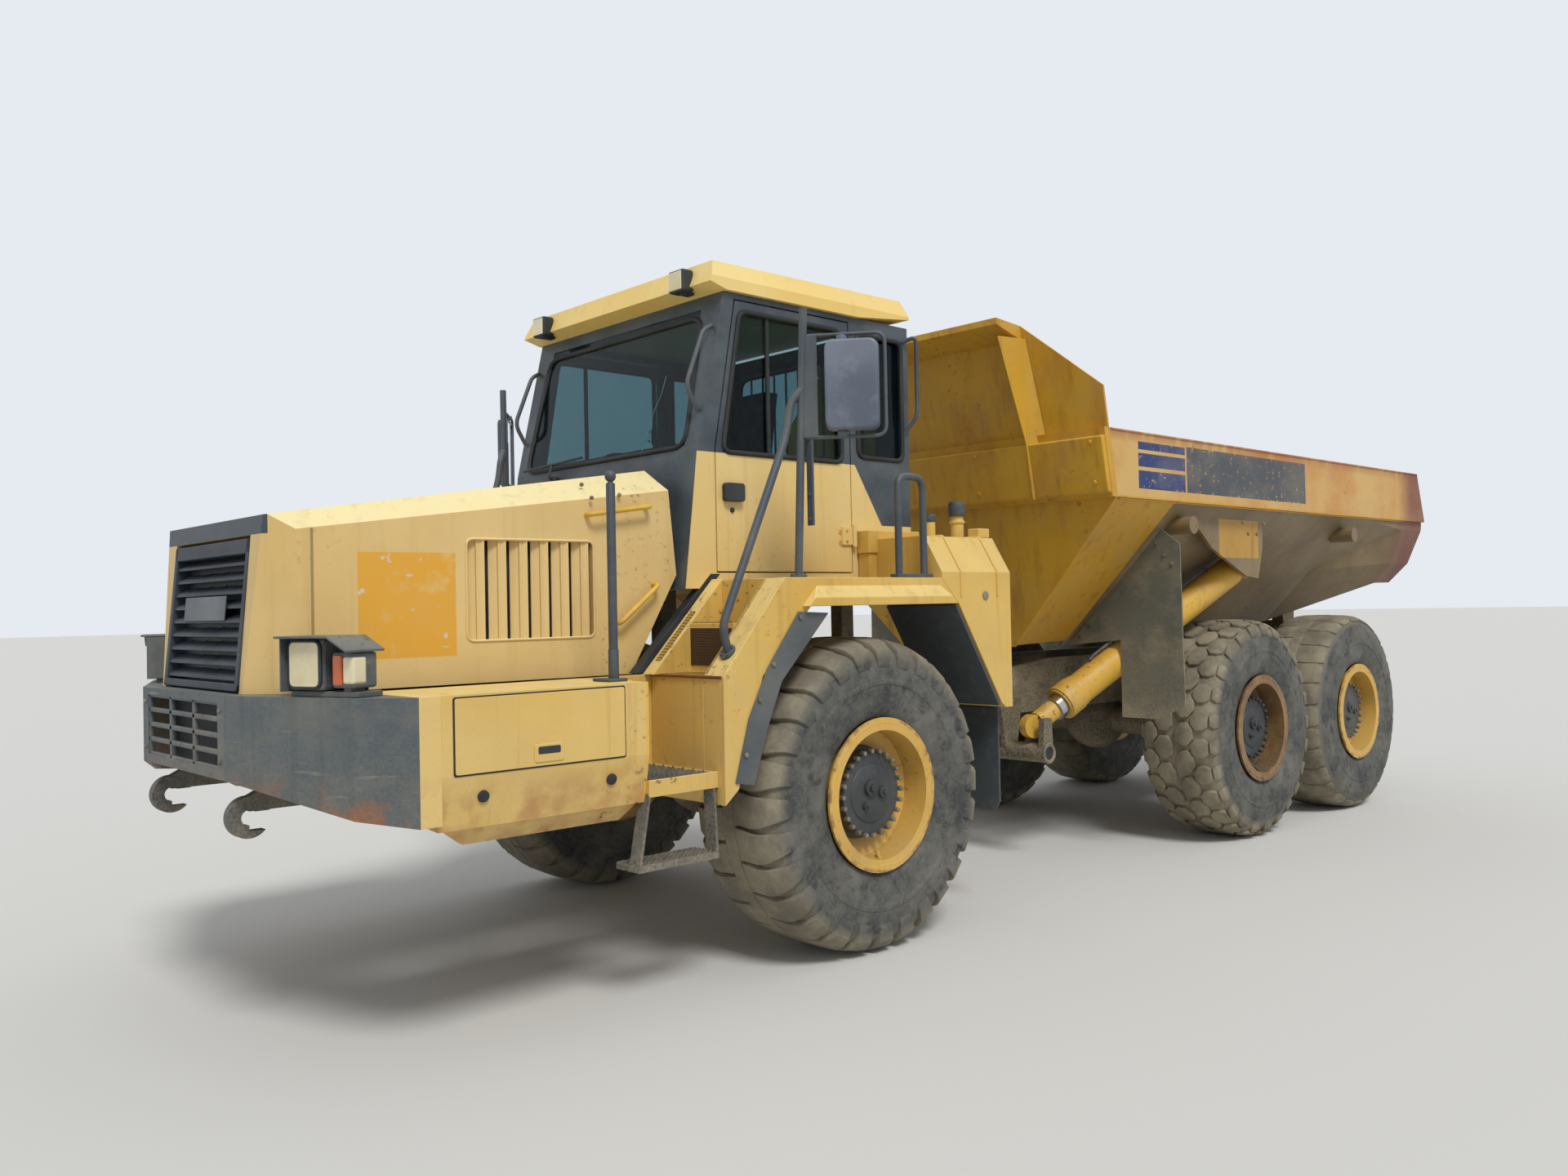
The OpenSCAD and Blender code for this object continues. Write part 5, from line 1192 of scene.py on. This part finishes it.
# stair, deck and steps
stair = {"out": 1.275, "in": 0.872, "treads": ((0.850, 1.040, 1.450), (0.650, 0.850, 1.690)),
         "deck": (-0.48, 0.645, 1.900), "deckY": (0.885, 1.27), "riser": (0.850, 1.485, 1.665), "riserY": (0.90, 1.262),
         "lip": (1.043, 1.447, 0.875, 1.405), "slope": ((1.040, 1.450), (0.650, 1.900))}


def onSlope(x):
    (x0, z0), (x1, z1) = stair["slope"]
    return z0 + (x - x0) * (z1 - z0) / (x1 - x0)


def makeStair():
    def mat(name, x0, x1, y0, y1, z):
        return block(name, at(x0, y0, z + 0.0003), at(x1, y1, z + 0.004), 0.001)

    mats = [mat("mat", x0 + 0.012, x1 - 0.008, stair["in"] + 0.02, stair["out"] - 0.012, z)
            for x0, x1, z in stair["treads"]]
    x0, x1, z = stair["deck"]
    mats.append(mat("deckMat", x0, x1 - 0.03, *stair["deckY"], z))
    bothSides(joined("stairMatsLeft", mats), "tractor", "tread")
    (x, z0, z1), (y0, y1) = stair["riser"], stair["riserY"]
    mesh = block("riserMeshLeft", at(x + 0.0005, y0, z0), at(x + 0.004, y1, z1), 0.001)
    bothSides(mesh, "tractor", "mesh")
    x, z, y0, y1 = stair["lip"]
    bothSides(rod("lipLeft", at(x, y0, z), at(x, y1, z), 0.007, 10), "tractor", "edgeRust")


# where each foot stands and the way its flange faces
railFeet = [((0.95, 1.35, onSlope(0.95)), (0.45, 0, 0.39)), ((0.505, 1.362, 1.901), (0, 0, 1))]


def makeRailFeet():
    across = Vector((0, 1, 0))
    parts = []
    for place, way in railFeet:
        centre, up = at(*place), Vector(way).normalized()
        parts.append(rod("flange", centre + up * 0.0005, centre + up * 0.012, 0.042, 24, 0.002))
        ahead = across.cross(up)
        spots = [centre + up * 0.011 + (across * math.cos(a) + ahead * math.sin(a)) * 0.031
                 for a in (math.radians(45 + 90 * k) for k in range(4))]
        parts.append(boltHeads("footBolts", spots, up, 0.007, 0.008))
    bothSides(joined("railFeetLeft", parts), "tractor", "rail")


step = {"x": (1.042, 1.428), "y": (0.875, 1.368), "top": 1.020, "teeth": 14, "toothHigh": 0.014, "toothThick": 0.006,
        "low": ((1.050, 1.485), (1.205, 1.365), 0.655)}


def toothed(start, end, teeth, height):  # an upright strip with a saw's edge
    start, end = Vector(start), Vector(end)
    corners = [start]
    for k in range(teeth):
        corners.append(start.lerp(end, (k + 0.25) / teeth) + Vector((0, 0, height)))
        corners.append(start.lerp(end, (k + 0.75) / teeth) + Vector((0, 0, height * 0.15)))
    corners += [end, end - Vector((0, 0, height)), start - Vector((0, 0, height))]
    return corners


def makeSteps():
    (x0, x1), (y0, y1), top = step["x"], step["y"], step["top"]
    (a0, a1), (b0, b1), low = step["low"]

    def saw(start, end, y, z):
        outline = toothed(at(start, y, z), at(end, y, z), step["teeth"], step["toothHigh"])
        return plate("tooth", outline, (0, step["toothThick"], 0), 0.0)

    panel = [block("panel", at(x0 - 0.001, y0 - 0.014, 0.960), at(x1 + 0.001, y0 + 0.006, 1.4495), 0.002),
             block("rib", at(x0 + 0.145, y0 + 0.004, top), at(x0 + 0.185, y0 + 0.060, 1.430), 0.004),
             block("edge", at(x0 - 0.001, y1 - 0.008, 0.950), at(x1 + 0.001, y1 + 0.004, top + 0.004), 0.003),
             block("sideEdge", at(x0 - 0.001, y0, 0.965), at(x0 + 0.008, y1, top), 0.002),
             block("sideEdge", at(x1 - 0.008, y0, 0.965), at(x1 + 0.001, y1, top), 0.002)]
    parts = [saw(x0 + 0.006, x1 - 0.006, y, top - 0.008) for y in spread(y0 + 0.03, y1 - 0.014, 7)]
    parts += [block("crossBar", at(x - 0.003, y0, top - 0.034), at(x + 0.003, y1 - 0.004, top - 0.012), 0.0)
              for x in spread(x0 + 0.06, x1 - 0.06, 5)]
    parts += [saw(a0, a1, y, low) for y in spread(b0 + 0.010, b1 - 0.010, 6)]
    parts += [block("lowEdge", at(a0, y - 0.006, low - 0.022), at(a1, y + 0.006, low + 0.008), 0.002) for y in (b0, b1)]
    parts += [block("lowSide", at(a - 0.006, b0, low - 0.022), at(a + 0.006, b1, low + 0.004), 0.002)
              for a in (a0, a1, (a0 + a1) / 2)]
    for foot, head in ((a1, x1 - 0.008), (a0, x0 + 0.022)):
        leg = [(head - 0.006, top - 0.045), (head + 0.006, top - 0.045), (foot + 0.008, low - 0.022),
               (foot - 0.008, low - 0.022)]
        parts.append(sidePlate("leg", leg, b1 - 0.070, b1 + 0.006, 0.003))
        places = [at(head + 0.004, b1 - 0.030, z) for z in (top - 0.075, top - 0.115)]
        parts.append(boltHeads("legBolts", places, (1, 0, 0), 0.010, 0.010))
    both = bothJoined("stepTreads", parts)
    dress(both, "tractor", "steel")
    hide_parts("steps")
    bothSides(joined("stepPanelLeft", panel), "tractor", "fender")


# fairing caps, flap bolts, tank straps and lock
sideTrim = {"capX": (2.22, 1.62), "cap": ((1.352, 1.055), (1.374, 1.049), 0.024),
            "latchPlate": ((1.905, 1.3665, 1.168), (1.965, 1.374, 1.210)),
            "flapBolts": ((0.565, 1.710), (0.745, 1.495), (0.835, 1.335), (0.925, 1.090)), "flapSide": 1.4285,
            "strapX": (-0.66, -0.98), "strap": ((0.952, 2.1305), (1.30, 2.134), (1.4225, 1.932), (1.4225, 1.80)),
            "tankKey": (-0.87, 1.80), "tankKeyY": (1.4195, 1.428)}


def makeSideTrim():
    t = sideTrim
    start, end, radius = t["cap"]
    caps = [rod("cap", at(x, *start), at(x, *end), radius, 24, 0.004) for x in t["capX"]]
    latch = block("latchPlate", *(at(*p) for p in t["latchPlate"]), 0.002)
    bothSides(joined("fairingCapsLeft", caps + [latch]), "tractor", "black")
    heads = boltHeads("flapBoltsLeft", [at(x, t["flapSide"], z) for x, z in t["flapBolts"]], (0, 1, 0), 0.013, 0.010)
    bothSides(heads, "tractor", "bolt")
    straps = [pipe("strap", [at(x, *p) for p in t["strap"]], 0.007, 0.02) for x in t["strapX"]]
    bothSides(joined("tankStrapsLeft", straps), "tractor", "fender")
    x, z = t["tankKey"]
    key = rod("keyhole", *(at(x, y, z) for y in t["tankKeyY"]), 0.024, 24, 0.003)
    bothSides(joined("tankLockLeft", [key]), "tractor", "bolt")


# tanks: filler neck, breather, lock box, and the battery box on the left
tank = {"top": 2.130, "neck": (-1.035, 1.100, 0.0375, 2.270), "breather": (-0.790, 1.100, 0.030, 2.230),
        "lock": ((-1.085, 1.215, 2.1305), (-0.985, 1.295, 2.185)), "battery": ((-0.850, 0.868), (-0.440, 0.9495)),
        "batteryZ": (1.9005, 2.050, 2.180), "knobZ": 2.085}


def makeTankTrim():
    parts = []
    for key in ("neck", "breather"):
        x, y, radius, top = tank[key]
        parts.append(rod("neck", at(x, y, tank["top"] - 0.02), at(x, y, top), radius, 32, 0.003))
        if key == "neck":
            parts.append(rod("collar", at(x, y, top - 0.045), at(x, y, top - 0.030), radius + 0.008, 32, 0.003))
    low, high = tank["lock"]
    parts.append(block("lock", at(*low), at(*high), 0.006))
    bothSides(joined("fillerNecksLeft", parts), "tractor", "fender")
    caps = []
    for key, high, wide in (("neck", 0.075, 0.014), ("breather", 0.038, 0.006)):
        x, y, radius, top = tank[key]
        caps.append(rod("cap", at(x, y, top - 0.004), at(x, y, top + high), radius + wide, 28, 0.006))
        caps.append(rod("capTop", at(x, y, top + high - 0.002), at(x, y, top + high + 0.008), radius * 0.6, 24, 0.004))
    x, y, radius, top = tank["neck"]
    caps.append(block("grip", at(x - 0.060, y - 0.006, top + 0.070), at(x + 0.060, y + 0.006, top + 0.086), 0.003))
    bothSides(joined("fillerCapLeft", caps), "tractor", "steel")
    (x0, y0), (x1, y1) = tank["battery"]
    z0, z1, z2 = tank["batteryZ"]
    box = [block("box", at(x0, y0, z0), at(x1, y1, z1), 0.004),
           block("lid", at(x0 - 0.012, y0, z1), at(x1 + 0.012, y1 + 0.010, z2), 0.006)]
    dress(joined("batteryBox", box), "tractor", "fender")
    knobs = [at(x, y1 + 0.010, tank["knobZ"]) for x in (x0 + 0.09, x1 - 0.09)]
    dress(boltHeads("batteryKnobs", knobs, (0, 1, 0), 0.014, 0.014), "tractor", "steel")


# headboard: the boxed band and the upright ribs under the canopy
headboard = {"foot": (-2.177, 2.410), "lean": 0.1875, "band": (2.420, 2.800, 0.072), "ribY": 0.885, "half": 1.446,
             "canopyZ": 3.462, "boltOut": 0.075, "boltY": (-1.36, -0.45, 0.45, 1.36), "boltZ": (2.50, 2.75)}


def boardFront(z):
    x, foot = headboard["foot"]
    return x + (z - foot) * headboard["lean"]


def makeHeadboardTrim():
    places = [at(boardFront(z) + headboard["boltOut"], y, z) for y in headboard["boltY"] for z in headboard["boltZ"]]
    dress(boltHeads("bandBolts", places, (1, 0, -0.19), 0.014, 0.010), "bed", "headboard")
    (z0, z1, proud), z2 = headboard["band"], headboard["canopyZ"]
    half, ribY = headboard["half"], headboard["ribY"]
    band = [(boardFront(z0) - 0.004, z0), (boardFront(z0) + proud, z0 + 0.020), (boardFront(z1) + proud, z1 - 0.018),
            (boardFront(z1) - 0.004, z1)]
    parts = [sidePlate("band", band, near, far, 0.008) for near, far in
             ((-half, -ribY - 0.006), (-ribY + 0.006, ribY - 0.006), (ribY + 0.006, half))]
    # each rib grows out towards the canopy, its outer face folded back to the board
    levels = ((z0, z0 + 0.010, proud + 0.012, 0.030), (z1, z1, proud + 0.012, 0.110), (z2, z2, 0.236, 0.050))
    corners = [corner for place, z, out, wide in levels
               for corner in ((boardFront(place) + out, ribY, z), (boardFront(place), ribY + wide, z),
                              (boardFront(place), ribY - 0.010, z))]
    faces = [(0, 1, 2), (6, 8, 7)] + [(a + k, a + (k + 1) % 3, b + (k + 1) % 3, b + k)
                                      for a, b in ((0, 3), (3, 6)) for k in range(3)]
    for side in (-1, 1):
        rib = outward(shaped("rib", [at(x, side * y, z) for x, y, z in corners], [], faces))
        parts.append(bevelled(rib, 0.003))
    dress(joined("headboardRibs", parts), "bed", "headboard")


# dump body: welds and bolts; hoists: pipes and glands; rear lamps
bodyTrim = {"lowWeld": ((-2.25, 1.424, 2.405), (-6.9, 1.424, 2.405), 0.009),
            "topWeld": ((-2.14, 1.4495, 2.833), (-7.15, 1.4495, 2.833), 0.008),
            "bracketSide": 1.445, "bracketBolts": ((-3.84, 2.30), (-3.92, 2.22), (-4.05, 2.22), (-4.16, 2.30)),
            "guardX": -2.998, "guardBolts": ((1.24, 2.14), (1.30, 2.06), (1.36, 2.00), (0.62, 1.50), (0.70, 1.58)),
            "boltSize": (0.014, 0.010)}


def makeBodyTrim():
    t = bodyTrim
    welds = [pipe(key, [at(*start), at(*end)], radius, 0.01)
             for key, (start, end, radius) in ((key, t[key]) for key in ("lowWeld", "topWeld"))]
    bothSides(joined("railWeldsLeft", welds), "bed", "body")
    places = [at(x, t["bracketSide"], z) for x, z in t["bracketBolts"]]
    bothSides(boltHeads("bracketBoltsLeft", places, (0, 1, 0), *t["boltSize"]), "bed", "body")
    places = [at(t["guardX"], y, z) for y, z in t["guardBolts"]]
    bothSides(boltHeads("guardBoltsLeft", places, (1, 0, 0), *t["boltSize"]), "bed", "bolt")


# spans and glands are shares of the way from the hoist's upper pin to its lower one
hoist = {"head": (-4.200, 1.190, 1.990), "foot": (-2.360, 0.640, 0.910), "pipeSpan": (0.10, 0.70), "pipe": 0.011,
         "pipeOver": (0.108, 0.135, 0.135, 0.122), "clips": (0.25, 0.42, 0.58), "clipOver": (0.105, 0.150),
         "glands": ((0.806, 0.868, 0.124), (0.790, 0.806, 0.117)), "crossTube": (-2.360, 0.772, 0.735),
         "ring": [(0.0, 0.045), (0.008, 0.045), (0.012, 0.050), (0.012, 0.066), (0.008, 0.070), (0.0, 0.070)],
         "tubes": ("hoist_tube_left", "hoist_tube_right")}


def makeHoistTrim():
    h = hoist
    head, foot = at(*h["head"]), at(*h["foot"])
    line = (foot - head).normalized()
    over = (Vector((0, 0, 1)) - line * line.z).normalized()

    def onHoist(share, out=0.0):
        return head.lerp(foot, share) + over * out

    # a rigid pipe clipped along the cylinder
    start, end = h["pipeSpan"]
    route = [onHoist(share, out) for share, out in zip((start, start + 0.02, end - 0.02, end), h["pipeOver"])]
    low, high = h["clipOver"]
    clips = [rod("clip", onHoist(share, low), onHoist(share, high), 0.020, 12, 0.002) for share in h["clips"]]
    whole = joined("hoistPipeLeft", [pipe("pipe", route, h["pipe"], 0.02)] + clips)
    bothSides(whole, h["tubes"], "steel")
    # the gland nut at the tube's lower end and the collar behind it
    glands = [rod("gland", onHoist(a), onHoist(b), radius, 48, 0.005) for a, b, radius in h["glands"]]
    bothSides(joined("hoistGlandLeft", glands), h["tubes"], "cylinderPaint")
    # the cross tube's open end with the pin plate in front of it; the black disc in its bore is painted shade of the
    # hollow
    x, y, z = h["crossTube"]
    ring = spun("ring", h["ring"], at(x, y, z))
    dark = rod("dark", at(x, y, z), at(x, y + 0.003, z), 0.046, 32)
    bothSides(ring, "rear_chassis", "chassis")
    bothSides(dark, "rear_chassis", "black")


# each part's rear, front, half of its width, foot, top, edge, slot and finish
rearLamp = {"out": 0.30, "rearLampBox": (-6.745, -6.70, 0.09, 1.20, 1.30, 0.006, "black_plastic", "black"),
            "rearLens": (-6.757, -6.744, 0.08, 1.21, 1.29, 0.004, "cab_glass", "redLens")}


def makeRearLamps():
    for side, name in ((1, "Left"), (-1, "Right")):
        y = side * rearLamp["out"]
        for part in ("rearLampBox", "rearLens"):
            rear, front, half, low, high, edge, slotName, finish = rearLamp[part]
            dress(block(part + name, at(rear, y - half, low), at(front, y + half, high), edge), "rear_chassis",
                  finish)


makers = {
    "cab": (makeSeals, makeWiper, makeDoorTrim, makeWindowGuard, makeRails, makeMirrors),
    "front": (makeGrille, makeBumper, makeHoodTrim, makeLamps, makeFenders, makeFlaps, makeFairings, makeTankTrim,
              makeStair, makeRailFeet, makeSteps, makeSideTrim),
    "rear": (makeBodyTrim, makeHeadboardTrim, makeHoistTrim, makeRearLamps)}
for group, steps in makers.items():
    for make in steps:
        make()
    print(group, "pieces made")


# floor and light
studio = {"floorSize": 300, "floorTone": (214, 212, 206), "sunStrength": 1.95, "sunWay": (0.30, 0.72, 0.95),
          "sunSize": 0.30, "skyLight": 0.55, "skySeen": 0.88, "skyTone": (0.90, 0.94, 1.0, 1)}


def makeStudio():
    deselect()
    bpy.ops.mesh.primitive_plane_add(size=studio["floorSize"])
    floor = bpy.context.object
    floor.name = "floor"
    floor.data.materials.append(Shade("floorFinish").finish(tone(*studio["floorTone"]), 0.9))

    deselect()
    bpy.ops.object.light_add(type="SUN")
    sun = bpy.context.object
    sun.name = "softSun"
    sun.rotation_euler = Vector(studio["sunWay"]).to_track_quat("Z", "Y").to_euler()
    sun.data.energy, sun.data.angle = studio["sunStrength"], studio["sunSize"]

    world = bpy.data.worlds.new("studioSky")
    bpy.context.scene.world = world
    world.use_nodes = True
    tree = world.node_tree
    tree.nodes.clear()

    def node(kind, *feeds):  # a node with sockets led into its first inputs
        new = tree.nodes.new("ShaderNode" + kind)
        for feed, socket in zip(feeds, new.inputs):
            tree.links.new(feed, socket)
        return new

    # the sky is brighter where the camera, a reflection or glass looks at it
    path = node("LightPath").outputs
    seen = path["Is Camera Ray"]
    for kind in ("Is Glossy Ray", "Is Transmission Ray"):
        either = node("Math", seen, path[kind])
        either.operation = "MAXIMUM"
        seen = either.outputs[0]
    strength = node("MapRange", seen)
    strength.inputs[3].default_value, strength.inputs[4].default_value = studio["skyLight"], studio["skySeen"]
    background = node("Background")
    background.inputs[0].default_value = studio["skyTone"]
    tree.links.new(strength.outputs[0], background.inputs[1])
    node("OutputWorld", background.outputs[0])


makeStudio()

photoCamera = {"place": (4.6230, 5.6657, 1.7629), "yaw": -2.32207, "pitch": 0.01480, "roll": -0.02001,
               "focus": 1510.44, "frameWidth": 1920, "sensor": 36, "sees": 500}


def makeCamera():
    camera = linked(bpy.data.objects.new("photoCamera", bpy.data.cameras.new("photoCamera")))
    camera.location = at(*photoCamera["place"])
    turn = (Matrix.Rotation(photoCamera["yaw"] - math.pi / 2, 3, "Z")
            @ Matrix.Rotation(math.pi / 2 + photoCamera["pitch"], 3, "X")
            @ Matrix.Rotation(photoCamera["roll"], 3, "Z"))
    camera.rotation_euler = turn.to_euler()
    camera.data.sensor_width = photoCamera["sensor"]
    camera.data.lens = photoCamera["focus"] / photoCamera["frameWidth"] * photoCamera["sensor"]
    camera.data.clip_end = photoCamera["sees"]
    bpy.context.scene.camera = camera


makeCamera()
bpy.context.scene.view_settings.view_transform = "Standard"
print("stage set")
